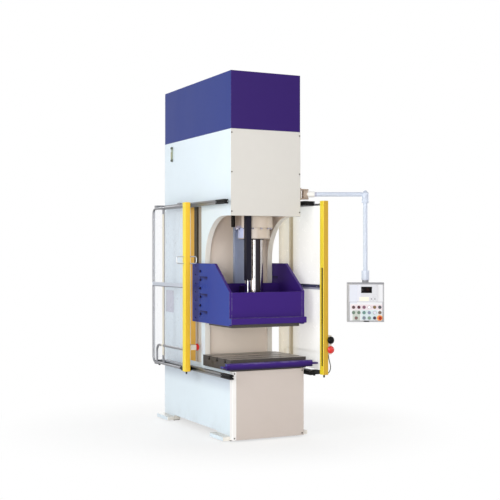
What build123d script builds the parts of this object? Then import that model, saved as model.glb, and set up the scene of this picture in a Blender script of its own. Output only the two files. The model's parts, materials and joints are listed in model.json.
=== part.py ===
from build123d import *
import math
import os

# C-frame hydraulic press with sliding side guards and a control pendant on a swivel arm.
# Millimetres, +Z up, front towards -Y. The origin is the centre of the anchor-bolt pattern
# on the underside of the foot plates, which stand on pads. Names ending in "height" are
# heights above the floor, and names ending in "setback" run back from the front of the head.

# Frame
frame_width = 705.0
frame_depth = 1575.0
cheek_thickness = 50.0
throat_depth = 561.0
throat_roof_height = 2010.0
throat_radius = 400.0
bed_corner_radius = 12.0
table_height = 728.0
head_depth_up = 771.0
underside_relief = 14.0
plate_inset = 25.0
web_thickness = 30.0
cylinder_plate_thickness = 80.0
bed_plate_thickness = 60.0
rear_plate_thickness = 20.0

# Feet and anchors
pad_thickness = 8.0
pad_width = 60.0
pad_length = 250.0
foot_thickness = 35.0
foot_length = 286.0
foot_inside = 62.5
anchor_pitch_x = 780.0
anchor_hole_radius = 13.0
anchor_edge = 37.5
front_anchor_setback = 148.0
rear_anchor_inset = 116.0

# Sheet covers and hood
cover_sheet = 3.0
cover_lip = 30.0
cover_bend_radius = 4.0
cover_screw_margin_x = 9.0
cover_screw_margin_z = 35.0
tray_overhang = 8.0
tray_depth = 54.0
tray_bottom_height = 15.0
tray_top_gap = 4.0
tray_return = 22.0
tray_corner_radius = 5.0
tray_screw_margin = 18.5
screw_head_radius = 6.5
screw_head_height = 4.0
screw_shank_radius = 3.0
screw_hole_clearance = 0.3
socket_share = 0.5
hood_height = 519.0
hood_sheet = 3.0
hood_corner_radius = 6.0
hood_top_radius = 5.0

# Table
bolster_width = 760.0
bolster_depth = 600.0
bolster_thickness = 100.0
bolster_overhang = 53.0
t_slot_count = 3
t_slot_pitch = 175.0
t_slot_first = 113.0
t_slot_width = 22.0
t_slot_head_width = 37.0
t_slot_head_height = 16.0
t_slot_depth = 38.0
front_bar_width = 864.0
front_bar_height = 58.0
front_bar_thickness = 34.0
front_bar_drop = 30.0
front_bar_chamfer = 8.0
lug_length = 46.0
lug_thickness = 15.0
lug_depth = 52.0
lug_rise = 22.0
lug_inset = 6.0

# Ways and gibs
way_front_setback = 650.0
way_width = 252.0
way_thickness = 20.0
way_proud = 2.0
way_bed_gap = 15.0
way_over_roof = 103.0
groove_width = 30.0
groove_depth = 10.0
groove_offset = 75.0
guide_clearance = 0.1
gib_width = 130.0
gib_end_margin = 10.0
gib_sunk = 10.0

# Cylinder: the gland hangs under its plate and the barrel stands above it
cylinder_setback = 250.0
rod_radius = 85.0
bore_radius = 135.0
barrel_radius = 173.0
barrel_hole_clearance = 0.5
barrel_cap = 55.0
barrel_rise = 585.0
flange_radius = 225.0
flange_thickness = 60.0
flange_flat_gap = 10.0
gland_drop = 233.0
gland_nose_radius = 147.0
gland_nose_length = 103.0
gland_flange_thickness = 45.0
gland_spigot_length = 60.0
gland_nose_chamfer = 7.0
gland_bolt_count = 12
gland_bolt_radius = 11.0
gland_bolt_head = 14.0
piston_fit = 0.05
piston_length = 120.0
piston_rise = 225.0
rod_flange_radius = 130.0
rod_flange_thickness = 40.0

# Slide, drawn at the height of the photograph
slide_width = 760.0
slide_plate_thickness = 25.0
slide_plate_front_setback = -26.0
slide_plate_rear_setback = 801.0
slide_bottom_height = 1025.0
slide_top_height = 1577.0
slide_slope_rear_setback = 295.0
slide_slope_front_setback = 65.0
slide_slope_front_height = 1400.0
slide_nose_height = 1327.0
ram_bottom_height = 1038.0
ram_thickness = 56.0
ram_rear_gap = 15.0
ram_lip = 43.0
ram_lip_chamfer = 6.0
slide_front_wall_height = 1322.0
slide_back_wall_height = 1391.0
slide_wall_thickness = 25.0
slide_pocket_depth = 426.0
slide_rib_offset = 200.0
slide_rib_thickness = 20.0
slide_rib_height = 180.0
wall_lug_x = -44.0
wall_lug_width = 45.0
wall_lug_height = 68.0
wall_lug_depth = 30.0
wall_lug_drop = 23.0
tool_plate_width = 680.0
tool_plate_depth = 500.0
tool_plate_thickness = 33.0
tool_bolt_pitch_x = 400.0
tool_bolt_pitch_y = 300.0
tool_bolt_hole_radius = 8.75
guide_bar_width = 200.0
guide_bar_thickness = 35.0
guide_bar_rise = 215.0
guide_bar_clearance = 1.0

# Screws in the slide's side plates
clamp_bolt_count = 6
clamp_bolt_pitch = 79.9
clamp_bolt_first_height = 1103.1
clamp_bolt_setback = 606.0
clamp_bolt_radius = 8.0
clamp_bolt_head_radius = 12.0
clamp_bolt_head_height = 10.0
clamp_pocket_length = 177.0
clamp_pocket_height = 65.0
clamp_pocket_depth = 3.0
clamp_pocket_rear = 19.0
gib_screw_count = 7
gib_screw_pitch = 81.7
gib_screw_first_height = 1061.0
gib_screw_radius = 4.0
gib_screw_head_radius = 6.0
gib_screw_head_height = 3.0
side_screw_hole_clearance = 0.2

# Stroke transducer
transducer_x = -151.0
transducer_setback = 70.0
transducer_bottom_height = 1427.0
transducer_width = 50.0
transducer_wall = 4.0
transducer_rod_radius = 8.0
transducer_rod_share = 0.449
clevis_width = 36.0
clevis_height = 50.0

# Power pack
tank_front_setback = 760.0
tank_height = 581.0
tank_wall = 6.0
filler_radius = 45.0
motor_radius = 110.0
motor_rear_inset = 165.0
motor_axis_rise = 140.0
motor_cowl_share = 0.1875
motor_cowl_step = 8.0
motor_foot_width = 180.0
pump_radius = 60.0
pump_length = 130.0
pump_gap = 10.0
valve_width = 200.0
valve_depth = 150.0
valve_height = 140.0
valve_front_setback = 800.0
solenoid_radius = 28.0
solenoid_length = 90.0
pipe_radius = 17.0
pipe_bend = 60.0
pipe_rise = 70.0
gauge_rear_inset = 205.0
gauge_drop = 191.0
gauge_length = 150.0
gauge_width = 27.0
gauge_thickness = 14.0
gauge_boss_radius = 9.0
gauge_boss_height = 6.0

# Guard rails
rail_size = 40.0
rail_gap = 31.5
rail_corner_radius = 2.0
rail_slot_width = 8.2
rail_slot_depth = 12.0
top_rail_rise = 122.0
bottom_rail_height = 584.0
top_rail_front_setback = -16.0
bottom_rail_front_setback = -126.0
rail_rear_inset = 75.0
rail_bracket_length = 60.0
rail_bracket_height = 30.0
rail_bracket_setbacks = (100.0, 700.0)
rail_bracket_rear_inset = 175.0

# Guards
guard_post_width = 53.0
guard_post_depth = 70.0
guard_post_x = 508.5
guard_post_bottom_height = 567.0
guard_post_over_rail = 16.0
guard_post_radius = 7.0
left_post_setback = 606.0
right_post_setback = -198.0
lens_groove_width = 26.0
lens_groove_depth = 6.0
lens_groove_offset = 12.0
lens_bottom_height = 648.0
lens_top_height = 1540.0
post_stud_radius = 8.0
post_stud_length = 25.0
guard_tube_radius = 11.0
guard_length = 900.0
guard_tube_under_rail = 14.0
guard_bottom_tube_height = 585.0
guard_bend_radius = 55.0
guard_mid_rail_height = 1365.0
guard_mid_rail_size = 40.0
guard_mid_rail_thickness = 20.0
guard_upright_offset = 633.0
guard_upright_width = 42.0
guard_upright_thickness = 8.0
guard_pipe_height = 765.0
guard_pipe_length = 790.0
guard_pipe_bend = 70.0
panel_thickness = 5.0
panel_front_gap = 5.0
panel_rear_gap = 20.0
carriage_length = 60.0
carriage_height = 40.0
carriage_gap = 0.5
carriage_top_front = 200.0
carriage_bottom_front = 110.0
carriage_rear = 800.0
tongue_width = 8.0
tongue_depth = 11.0
foot_arm_thickness = 25.0
knob_radius = 10.0
knob_length = 14.0

# Handle rings and palm buttons on the posts
ring_reach = 74.0
ring_height = 75.0
ring_bottom_height = 1571.0
ring_radius = 5.0
ring_bend = 16.0
palm_head_radius = 33.5
palm_head_height = 26.0
palm_rim = 9.0
palm_stem_radius = 14.0
palm_stem_inside = 12.0
palm_gap = 14.0
palm_bore_depth = 22.0
palm_fit = 0.08
left_box_front_reach = 62.0
left_box_depth = 50.0
left_box_offset = 8.0
left_box_height = 44.0
left_palm_height = 790.0
box_bracket_thickness = 4.0
right_box_width = 36.0
right_box_depth = 44.0
right_box_offset = 8.0
right_box_under = 45.0
right_box_over = 43.0
right_stop_height = 795.0
right_start_height = 882.0

# Lead of the right-hand buttons
cable_radius = 4.0
cable_bend_share = 0.45
cable_points = [
    (553.0, -967.5, 745.0),
    (556.0, -967.5, 708.0),
    (567.0, -967.5, 672.0),
    (577.0, -967.5, 634.0),
    (574.0, -967.5, 596.0),
    (551.0, -967.5, 568.0),
    (533.0, -967.5, 558.0),
]

# Pendant arm
arm_setback = 46.0
arm_x = 427.0
arm_over_rail = 84.0
arm_turn = -26.363
arm_length = 558.0
arm_tube_radius = 21.0
arm_hub_radius = 30.0
arm_hub_height = 70.0
arm_pin_radius = 15.0
arm_pin_fit = 0.05
arm_play = 0.1
arm_collar_radius = 27.0
arm_collar_reach = 88.0
arm_bend = 40.0
arm_rib_thickness = 12.0
arm_rib_radius = 34.0
arm_plate_thickness = 12.0
arm_plate_width = 120.0
arm_plate_margin = 8.0
elbow_radius = 33.0
elbow_top_rise = 36.0
elbow_drop = 80.0
elbow_chamfer = 24.0
coupling_radius = 36.0
coupling_top_height = 1512.0
coupling_bottom_height = 1424.0
pendant_pin_radius = 12.0
pendant_pin_length = 66.0
pendant_neck_radius = 30.0

# Pendant
pendant_width = 335.0
pendant_height = 363.0
pendant_depth = 110.0
pendant_bottom_height = 1039.0
pendant_wall = 3.0
pendant_corner_radius = 8.0
front_panel_thickness = 4.0
front_panel_margin = 6.0
device_first_u = -115.0
device_pitch = 48.2
device_top_row_height = 1175.9
device_row_pitch = 49.5
device_hole_radius = 11.0
device_fit = 0.1
bezel_radius = 15.5
bezel_height = 3.0
bezel_gap = 0.3
cap_height = 8.0
cap_edge = 1.5
stem_length = 15.0
retainer_radius = 13.0
retainer_thickness = 3.0
retainer_play = 0.2
button_travel = 3.0
lamp_height = 9.0
knob_bar_width = 8.0
knob_bar_height = 8.0
key_bow_width = 4.0
key_bow_length = 22.0
key_bow_height = 20.0
estop_head_radius = 20.0
estop_head_height = 17.0
estop_gap = 5.0
estop_disc_radius = 26.0
port_plate_size = (69.0, 92.0)
port_plate_centre = (-89.5, 1101.0)
port_plate_thickness = 2.0
display_size = (189.0, 161.0)
display_centre = (11.5, 1304.0)
display_thickness = 8.0
display_corner_radius = 4.0
screen_size = (100.0, 58.0)
screen_centre = (4.0, 1335.5)
screen_recess = 2.0

# Places worked out from the sizes above
floor = -pad_thickness
half_width = frame_width / 2
cheek_inner = half_width - cheek_thickness
anchor_pitch_y = frame_depth - front_anchor_setback - rear_anchor_inset
front = -(anchor_pitch_y / 2 + front_anchor_setback)
back = front + frame_depth
cheek_front = front + cover_sheet
throat_edge = front + throat_depth
web_back = throat_edge + plate_inset + web_thickness
table_top = floor + table_height
bed_top = table_top - bolster_thickness
throat_roof = floor + throat_roof_height
plate_bottom = throat_roof + plate_inset
plate_top = plate_bottom + cylinder_plate_thickness
head_top = throat_roof + head_depth_up
hood_top = head_top + hood_height
foot_outer = anchor_pitch_x / 2 + anchor_edge
foot_inner = half_width - foot_inside
rail_inner = half_width + rail_gap
rail_centre = rail_inner + rail_size / 2
rail_outer = rail_inner + rail_size
rail_bracket_places = [front + setback for setback in rail_bracket_setbacks]
rail_bracket_places.append(back - rail_bracket_rear_inset)

way_front = front + way_front_setback
way_back = way_front + way_width
way_bottom = bed_top + way_bed_gap
way_top = throat_roof + way_over_roof
way_face = half_width + way_proud
way_pocket = way_face - way_thickness
groove_centre = way_front + groove_offset

bolster_front = front - bolster_overhang
bolster_rear = bolster_front + bolster_depth

cylinder_y = front + cylinder_setback
gland_bottom = plate_bottom - gland_drop
gland_flange_bottom = gland_bottom + gland_nose_length
barrel_bottom = gland_flange_bottom + gland_flange_thickness
barrel_top = plate_top + barrel_rise

slide_outer = slide_width / 2
slide_inner = slide_outer - slide_plate_thickness
slide_front = front + slide_plate_front_setback
slide_rear = front + slide_plate_rear_setback
slide_bottom = floor + slide_bottom_height
slide_top = floor + slide_top_height
ram_bottom = floor + ram_bottom_height
ram_top = ram_bottom + ram_thickness
ram_rear = throat_edge - ram_rear_gap
front_wall_back = slide_front + slide_wall_thickness
back_wall_front = front_wall_back + slide_pocket_depth
back_wall_back = back_wall_front + slide_wall_thickness
guide_bar_back = back_wall_back + guide_bar_thickness
tool_plate_bottom = ram_bottom - tool_plate_thickness
gib_face = way_face + guide_clearance
gib_back = slide_inner + gib_sunk

top_rail_z = throat_roof + top_rail_rise
bottom_rail_z = floor + bottom_rail_height
guard_x = guard_post_x
guard_post_inner = guard_post_x - guard_post_width / 2
guard_post_outer = guard_post_x + guard_post_width / 2
panel_face = guard_x - guard_tube_radius
top_tube_z = top_rail_z - guard_tube_under_rail
bottom_tube_z = floor + guard_bottom_tube_height
post_bottom = floor + guard_post_bottom_height
post_top = top_rail_z + guard_post_over_rail

SIDES = {"left": -1, "right": 1}
POST_FRONTS = {"left": front + left_post_setback, "right": front + right_post_setback}
CORNER = (Align.MIN, Align.MIN, Align.MIN)

os.makedirs("parts", exist_ok=True)


def slab(x, y, z, mode=Mode.ADD):
    """A block in the part being built, between two values along each axis."""
    with Locations((min(x), min(y), min(z))):
        Box(abs(x[1] - x[0]), abs(y[1] - y[0]), abs(z[1] - z[0]), align=CORNER, mode=mode)


def write(piece, name):
    """Label a finished piece and write it to the file of the same name."""
    piece.part.label = name
    export_step(piece.part, f"parts/{name}.step")


def turning_plane(y, x=0.0):
    """A plane through an upright axis, drawn in radius and height."""
    return Plane(origin=(x, y, 0), x_dir=(1, 0, 0), z_dir=(0, -1, 0))


# Cheeks, each with its welded foot plates and rail spacers
front_foot = -anchor_pitch_y / 2
rear_foot = anchor_pitch_y / 2
for side, sign in SIDES.items():
    with BuildPart() as cheek:
        with BuildSketch(Plane.YZ.offset(sign * cheek_inner)):
            with BuildLine():
                FilletPolyline(
                    (cheek_front, foot_thickness),
                    (cheek_front, bed_top),
                    (throat_edge, bed_top),
                    (throat_edge, throat_roof),
                    (cheek_front, throat_roof),
                    (cheek_front, head_top),
                    (back, head_top),
                    (back, foot_thickness),
                    radius=[0, 0, bed_corner_radius, throat_radius, 0, 0, 0, 0],
                    close=True,
                )
            make_face()
        extrude(amount=sign * cheek_thickness)
        cheek_x = (sign * cheek_inner, sign * half_width)
        slab(
            cheek_x,
            (front_foot + foot_length / 2, rear_foot - foot_length / 2),
            (foot_thickness, foot_thickness + underside_relief),
            mode=Mode.SUBTRACT,
        )
        for foot_y in (front_foot, rear_foot):
            slab(
                (sign * foot_inner, sign * foot_outer),
                (foot_y - foot_length / 2, foot_y + foot_length / 2),
                (0, foot_thickness),
            )
            with Locations((sign * anchor_pitch_x / 2, foot_y, foot_thickness)):
                Hole(radius=anchor_hole_radius, depth=foot_thickness)
        slab(
            (sign * way_pocket, sign * half_width),
            (way_front, way_back),
            (way_bottom, way_top),
            mode=Mode.SUBTRACT,
        )
        for rail_z in (top_rail_z, bottom_rail_z):
            for bracket_y in rail_bracket_places:
                slab(
                    (sign * half_width, sign * rail_inner),
                    (bracket_y - rail_bracket_length / 2, bracket_y + rail_bracket_length / 2),
                    (rail_z - rail_bracket_height / 2, rail_z + rail_bracket_height / 2),
                )
    write(cheek, f"{side}_cheek")

# Plates welded between the cheeks
between = (-cheek_inner, cheek_inner)
with BuildPart() as throat_web:
    slab(between, (throat_edge + plate_inset, web_back), (bed_top, plate_bottom))
write(throat_web, "throat_web")

with BuildPart() as bed_plate:
    slab(between, (cheek_front, web_back), (bed_top - bed_plate_thickness, bed_top))
write(bed_plate, "bed_plate")

with BuildPart() as rear_plate:
    slab(between, (back - rear_plate_thickness, back), (foot_thickness, head_top))
write(rear_plate, "rear_plate")

with BuildPart() as cylinder_plate:
    slab(between, (cheek_front, web_back), (plate_bottom, plate_top))
    with BuildSketch(Plane.XY.offset(plate_bottom)):
        with Locations((0, cylinder_y)):
            Circle(barrel_radius + barrel_hole_clearance)
        with Locations((0, (back_wall_back + guide_bar_back) / 2)):
            Rectangle(
                guide_bar_width + 2 * guide_bar_clearance,
                guide_bar_thickness + 2 * guide_bar_clearance,
            )
    extrude(amount=cylinder_plate_thickness, mode=Mode.SUBTRACT)
write(cylinder_plate, "cylinder_plate")

# Head cover: a front sheet with a lip folded under the head
cover_screw_x = half_width - cover_screw_margin_x
cover_screw_low = throat_roof + cover_screw_margin_z
cover_screw_high = head_top - cover_screw_margin_z
cover_screw_rows = (cover_screw_low, (cover_screw_low + cover_screw_high) / 2, cover_screw_high)
head_screws = [(x, z) for x in (-cover_screw_x, cover_screw_x) for z in cover_screw_rows]
lip_bottom = throat_roof - cover_sheet
with BuildPart() as head_cover:
    with BuildSketch(Plane.YZ.offset(-half_width)):
        with BuildLine():
            FilletPolyline(
                (front, head_top),
                (front, lip_bottom),
                (front + cover_lip, lip_bottom),
                (front + cover_lip, throat_roof),
                (cheek_front, throat_roof),
                (cheek_front, head_top),
                radius=[0, cover_bend_radius, 0, 0, 0, 0],
                close=True,
            )
        make_face()
    extrude(amount=frame_width)
    with BuildSketch(Plane.XZ.offset(-front)):
        with Locations(*head_screws):
            Circle(screw_shank_radius + screw_hole_clearance)
    extrude(amount=-cover_sheet, mode=Mode.SUBTRACT)
write(head_cover, "head_cover")

# Base cover: a tray with side flanges, folded in again where it meets the cheeks
tray_half = half_width + tray_overhang
tray_front = cheek_front - tray_depth
tray_bottom = floor + tray_bottom_height
tray_top = bed_top - tray_top_gap
tray_screw_x = tray_half - tray_screw_margin
tray_screw_levels = (tray_bottom + tray_screw_margin, tray_top - tray_screw_margin)
base_screws = [(x, z) for x in (-tray_screw_x, tray_screw_x) for z in tray_screw_levels]
with BuildPart() as base_cover:
    slab((-tray_half, tray_half), (tray_front, cheek_front), (tray_bottom, tray_top))
    fillet(
        base_cover.edges().filter_by(Axis.Z).group_by(Axis.Y)[0],
        tray_corner_radius,
    )
    slab(
        (-tray_half + cover_sheet, tray_half - cover_sheet),
        (tray_front + cover_sheet, cheek_front - cover_sheet),
        (tray_bottom, tray_top - cover_sheet),
        mode=Mode.SUBTRACT,
    )
    slab(
        (-tray_half + tray_return, tray_half - tray_return),
        (cheek_front - cover_sheet, cheek_front),
        (tray_bottom, tray_top - cover_sheet),
        mode=Mode.SUBTRACT,
    )
    with BuildSketch(Plane.XZ.offset(-tray_front)):
        with Locations(*base_screws):
            Circle(screw_shank_radius + screw_hole_clearance)
    extrude(amount=-cover_sheet, mode=Mode.SUBTRACT)
write(base_cover, "base_cover")

# Cover screws: socket button heads with their shanks through the sheet
with BuildPart() as cover_screws:
    for face_y, places in ((front, head_screws), (tray_front, base_screws)):
        with BuildSketch(Plane.XZ.offset(-face_y)):
            with Locations(*places):
                Circle(screw_head_radius)
        extrude(amount=screw_head_height)
        with BuildSketch(Plane.XZ.offset(-face_y)):
            with Locations(*places):
                Circle(screw_shank_radius)
        extrude(amount=-cover_sheet)
        with BuildSketch(Plane.XZ.offset(-face_y + screw_head_height)):
            with Locations(*places):
                RegularPolygon(screw_head_radius * socket_share, 6)
        extrude(amount=-screw_head_height * socket_share, mode=Mode.SUBTRACT)
write(cover_screws, "cover_screws")

# Hood: a sheet box, open below, on top of the cheeks
with BuildPart() as hood:
    slab((-half_width, half_width), (front, back), (head_top, hood_top))
    fillet(hood.edges().filter_by(Axis.Z), hood_corner_radius)
    fillet(hood.faces().sort_by(Axis.Z)[-1].edges(), hood_top_radius)
    offset(amount=-hood_sheet, openings=hood.faces().sort_by(Axis.Z)[0])
write(hood, "hood")

with BuildPart() as foot_pads:
    for sign in SIDES.values():
        for foot_y in (front_foot, rear_foot):
            slab(
                (sign * foot_inner, sign * (foot_inner + pad_width)),
                (foot_y - pad_length / 2, foot_y + pad_length / 2),
                (floor, 0),
            )
write(foot_pads, "foot_pads")

# Bolster with T-slots that run out at both ends
slot_places = [bolster_front + t_slot_first + i * t_slot_pitch for i in range(t_slot_count)]
with BuildPart() as bolster:
    with BuildSketch(Plane.YZ.offset(-bolster_width / 2)):
        with Locations(((bolster_front + bolster_rear) / 2, (bed_top + table_top) / 2)):
            Rectangle(bolster_depth, bolster_thickness)
        with Locations(*[(y, table_top - t_slot_depth / 2) for y in slot_places]):
            Rectangle(t_slot_width, t_slot_depth, mode=Mode.SUBTRACT)
        slot_head_z = table_top - t_slot_depth + t_slot_head_height / 2
        with Locations(*[(y, slot_head_z) for y in slot_places]):
            Rectangle(t_slot_head_width, t_slot_head_height, mode=Mode.SUBTRACT)
    extrude(amount=bolster_width)
write(bolster, "bolster")

# Bar across the front of the table, with a lug at each end
bar_back = bolster_front
bar_front = bar_back - front_bar_thickness
bar_top = table_top - front_bar_drop
bar_bottom = bar_top - front_bar_height
with BuildPart() as table_front_bar:
    slab((-front_bar_width / 2, front_bar_width / 2), (bar_front, bar_back), (bar_bottom, bar_top))
    chamfer(
        table_front_bar.edges().filter_by(Axis.X).group_by(Axis.Y)[0],
        front_bar_chamfer,
    )
    for sign in SIDES.values():
        slab(
            (sign * (front_bar_width / 2 - lug_inset), sign * (front_bar_width / 2 + lug_length)),
            (bar_back - lug_depth, bar_back),
            (bar_bottom + lug_rise, bar_bottom + lug_rise + lug_thickness),
        )
write(table_front_bar, "table_front_bar")

# Polished ways let into the cheeks, with a guide groove
for side, sign in SIDES.items():
    groove_half = groove_width / 2 + guide_clearance
    with BuildPart() as way:
        slab((sign * way_pocket, sign * way_face), (way_front, way_back), (way_bottom, way_top))
        slab(
            (sign * (way_face - groove_depth), sign * way_face),
            (groove_centre - groove_half, groove_centre + groove_half),
            (way_bottom, way_top),
            mode=Mode.SUBTRACT,
        )
    write(way, f"{side}_way")

# Main cylinder, hung in the cylinder plate by its flange
cylinder_axis = Axis((0, cylinder_y, 0), (0, 0, 1))
flange_top = plate_top + flange_thickness
with BuildPart() as cylinder_barrel:
    with BuildSketch(turning_plane(cylinder_y)):
        with BuildLine():
            Polyline(
                (bore_radius, barrel_bottom),
                (barrel_radius, barrel_bottom),
                (barrel_radius, plate_top),
                (flange_radius, plate_top),
                (flange_radius, flange_top),
                (barrel_radius, flange_top),
                (barrel_radius, barrel_top),
                (0, barrel_top),
                (0, barrel_top - barrel_cap),
                (bore_radius, barrel_top - barrel_cap),
                close=True,
            )
        make_face()
    revolve(axis=cylinder_axis)
    slab(
        (-flange_radius, flange_radius),
        (back_wall_back - flange_flat_gap, cylinder_y + 2 * flange_radius),
        (plate_top, flange_top),
        mode=Mode.SUBTRACT,
    )
write(cylinder_barrel, "cylinder_barrel")

gland_top = barrel_bottom + gland_spigot_length
gland_bolt_circle = (gland_nose_radius + barrel_radius) / 2
with BuildPart() as cylinder_gland:
    with BuildSketch(turning_plane(cylinder_y)):
        with BuildLine():
            Polyline(
                (rod_radius + piston_fit, gland_bottom),
                (gland_nose_radius, gland_bottom),
                (gland_nose_radius, gland_flange_bottom),
                (barrel_radius, gland_flange_bottom),
                (barrel_radius, barrel_bottom),
                (bore_radius - piston_fit, barrel_bottom),
                (bore_radius - piston_fit, gland_top),
                (rod_radius + piston_fit, gland_top),
                close=True,
            )
        make_face()
    revolve(axis=cylinder_axis)
    chamfer(
        cylinder_gland.edges().filter_by(GeomType.CIRCLE).group_by(Axis.Z)[0].sort_by(SortBy.RADIUS)[-1],
        gland_nose_chamfer,
    )
    with BuildSketch(Plane.XY.offset(gland_flange_bottom)):
        with Locations((0, cylinder_y)):
            with PolarLocations(gland_bolt_circle, gland_bolt_count):
                Circle(gland_bolt_radius)
    extrude(amount=-gland_bolt_head)
write(cylinder_gland, "cylinder_gland")

piston_bottom = gland_top + piston_rise
with BuildPart() as piston_rod:
    with BuildSketch(turning_plane(cylinder_y)):
        with BuildLine():
            Polyline(
                (0, ram_top),
                (rod_flange_radius, ram_top),
                (rod_flange_radius, ram_top + rod_flange_thickness),
                (rod_radius, ram_top + rod_flange_thickness),
                (rod_radius, piston_bottom),
                (bore_radius - piston_fit, piston_bottom),
                (bore_radius - piston_fit, piston_bottom + piston_length),
                (0, piston_bottom + piston_length),
                close=True,
            )
        make_face()
    revolve(axis=cylinder_axis)
write(piston_rod, "piston_rod")

# Slide side plates: pocket for the gib, clamp pockets and screw holes
gib_front = groove_centre - gib_width / 2
gib_rear = groove_centre + gib_width / 2
clamp_levels = [floor + clamp_bolt_first_height + i * clamp_bolt_pitch for i in range(clamp_bolt_count)]
clamp_y = front + clamp_bolt_setback
clamp_bolts = [(clamp_y, z) for z in clamp_levels]
gib_levels = [floor + gib_screw_first_height + i * gib_screw_pitch for i in range(gib_screw_count)]
gib_screws_at = [(groove_centre, z) for z in gib_levels]
pocket_rear = clamp_y + clamp_pocket_rear
pocket_centres = [(pocket_rear - clamp_pocket_length / 2, z) for z in clamp_levels[::2]]
for side, sign in SIDES.items():
    with BuildPart() as slide_plate:
        with BuildSketch(Plane.YZ.offset(sign * slide_inner)):
            with BuildLine():
                Polyline(
                    (slide_front, slide_bottom),
                    (slide_rear, slide_bottom),
                    (slide_rear, slide_top),
                    (front + slide_slope_rear_setback, slide_top),
                    (front + slide_slope_front_setback, floor + slide_slope_front_height),
                    (slide_front, floor + slide_nose_height),
                    close=True,
                )
            make_face()
        extrude(amount=sign * slide_plate_thickness)
        slab(
            (sign * slide_inner, sign * gib_back),
            (gib_front, gib_rear),
            (slide_bottom + gib_end_margin, slide_top - gib_end_margin),
            mode=Mode.SUBTRACT,
        )
        with BuildSketch(Plane.YZ.offset(sign * slide_outer)):
            with Locations(*pocket_centres):
                Rectangle(clamp_pocket_length, clamp_pocket_height)
        extrude(amount=-sign * clamp_pocket_depth, mode=Mode.SUBTRACT)
        with BuildSketch(Plane.YZ.offset(sign * slide_outer)):
            with Locations(*clamp_bolts):
                Circle(clamp_bolt_radius + side_screw_hole_clearance)
        extrude(amount=-sign * slide_plate_thickness, mode=Mode.SUBTRACT)
        with BuildSketch(Plane.YZ.offset(sign * slide_outer)):
            with Locations(*gib_screws_at):
                Circle(gib_screw_radius + side_screw_hole_clearance)
        extrude(amount=-sign * (slide_outer - gib_back), mode=Mode.SUBTRACT)
    write(slide_plate, f"slide_{side}_plate")

# Screws of the side plates: clamp bolts, alternate ones seated in the pockets, and gib screws
with BuildPart() as gib_screws:
    for sign in SIDES.values():
        for i, place in enumerate(clamp_bolts):
            seat = slide_outer - (clamp_pocket_depth if i % 2 == 0 else 0)
            with BuildSketch(Plane.YZ.offset(sign * seat)):
                with Locations(place):
                    Circle(clamp_bolt_head_radius)
            extrude(amount=sign * clamp_bolt_head_height)
            with BuildSketch(Plane.YZ.offset(sign * seat)):
                with Locations(place):
                    Circle(clamp_bolt_radius)
            extrude(amount=-sign * (seat - slide_inner))
            with BuildSketch(Plane.YZ.offset(sign * (seat + clamp_bolt_head_height))):
                with Locations(place):
                    RegularPolygon(clamp_bolt_head_radius * socket_share, 6)
            extrude(amount=-sign * clamp_bolt_head_height * socket_share, mode=Mode.SUBTRACT)
        with BuildSketch(Plane.YZ.offset(sign * slide_outer)):
            with Locations(*gib_screws_at):
                Circle(gib_screw_head_radius)
        extrude(amount=sign * gib_screw_head_height)
        with BuildSketch(Plane.YZ.offset(sign * slide_outer)):
            with Locations(*gib_screws_at):
                Circle(gib_screw_radius)
        extrude(amount=-sign * (slide_outer - gib_back))
write(gib_screws, "gib_screws")

# Bronze gibs with the rib that runs in the groove of the way
for side, sign in SIDES.items():
    gib_span = (slide_bottom + gib_end_margin, slide_top - gib_end_margin)
    rib_tip = way_face - groove_depth + guide_clearance
    with BuildPart() as gib:
        slab((sign * gib_face, sign * gib_back), (gib_front, gib_rear), gib_span)
        slab(
            (sign * rib_tip, sign * gib_face),
            (groove_centre - groove_width / 2, groove_centre + groove_width / 2),
            gib_span,
        )
    write(gib, f"{side}_gib")

# Slide box: front and back walls tied by ribs, with a stop lug on the back wall
across_slide = (-slide_inner, slide_inner)
front_wall_top = floor + slide_front_wall_height
back_wall_top = floor + slide_back_wall_height
with BuildPart() as slide_box:
    slab(across_slide, (slide_front, front_wall_back), (ram_top, front_wall_top))
    slab(across_slide, (back_wall_front, back_wall_back), (ram_top, back_wall_top))
    for sign in SIDES.values():
        slab(
            (sign * slide_rib_offset, sign * (slide_rib_offset + slide_rib_thickness)),
            (front_wall_back, back_wall_front),
            (ram_top, ram_top + slide_rib_height),
        )
    lug_top = back_wall_top - wall_lug_drop
    slab(
        (wall_lug_x - wall_lug_width / 2, wall_lug_x + wall_lug_width / 2),
        (back_wall_front - wall_lug_depth, back_wall_front),
        (lug_top - wall_lug_height, lug_top),
    )
write(slide_box, "slide_box")

with BuildPart() as ram_plate:
    slab(
        (-slide_outer, slide_outer),
        (slide_front - ram_lip, slide_front),
        (ram_bottom, ram_top),
    )
    chamfer(ram_plate.edges().filter_by(Axis.X).group_by(Axis.Y)[0], ram_lip_chamfer)
    slab(across_slide, (slide_front, ram_rear), (ram_bottom, ram_top))
write(ram_plate, "ram_plate")

with BuildPart() as tool_plate:
    with BuildSketch(Plane.XY.offset(tool_plate_bottom)):
        with Locations((0, cylinder_y)):
            Rectangle(tool_plate_width, tool_plate_depth)
            with GridLocations(tool_bolt_pitch_x, tool_bolt_pitch_y, 2, 2):
                Circle(tool_bolt_hole_radius, mode=Mode.SUBTRACT)
    extrude(amount=tool_plate_thickness)
write(tool_plate, "tool_plate")

with BuildPart() as rear_guide_bar:
    slab(
        (-guide_bar_width / 2, guide_bar_width / 2),
        (back_wall_back, guide_bar_back),
        (ram_top, plate_top + guide_bar_rise),
    )
write(rear_guide_bar, "rear_guide_bar")

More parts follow.
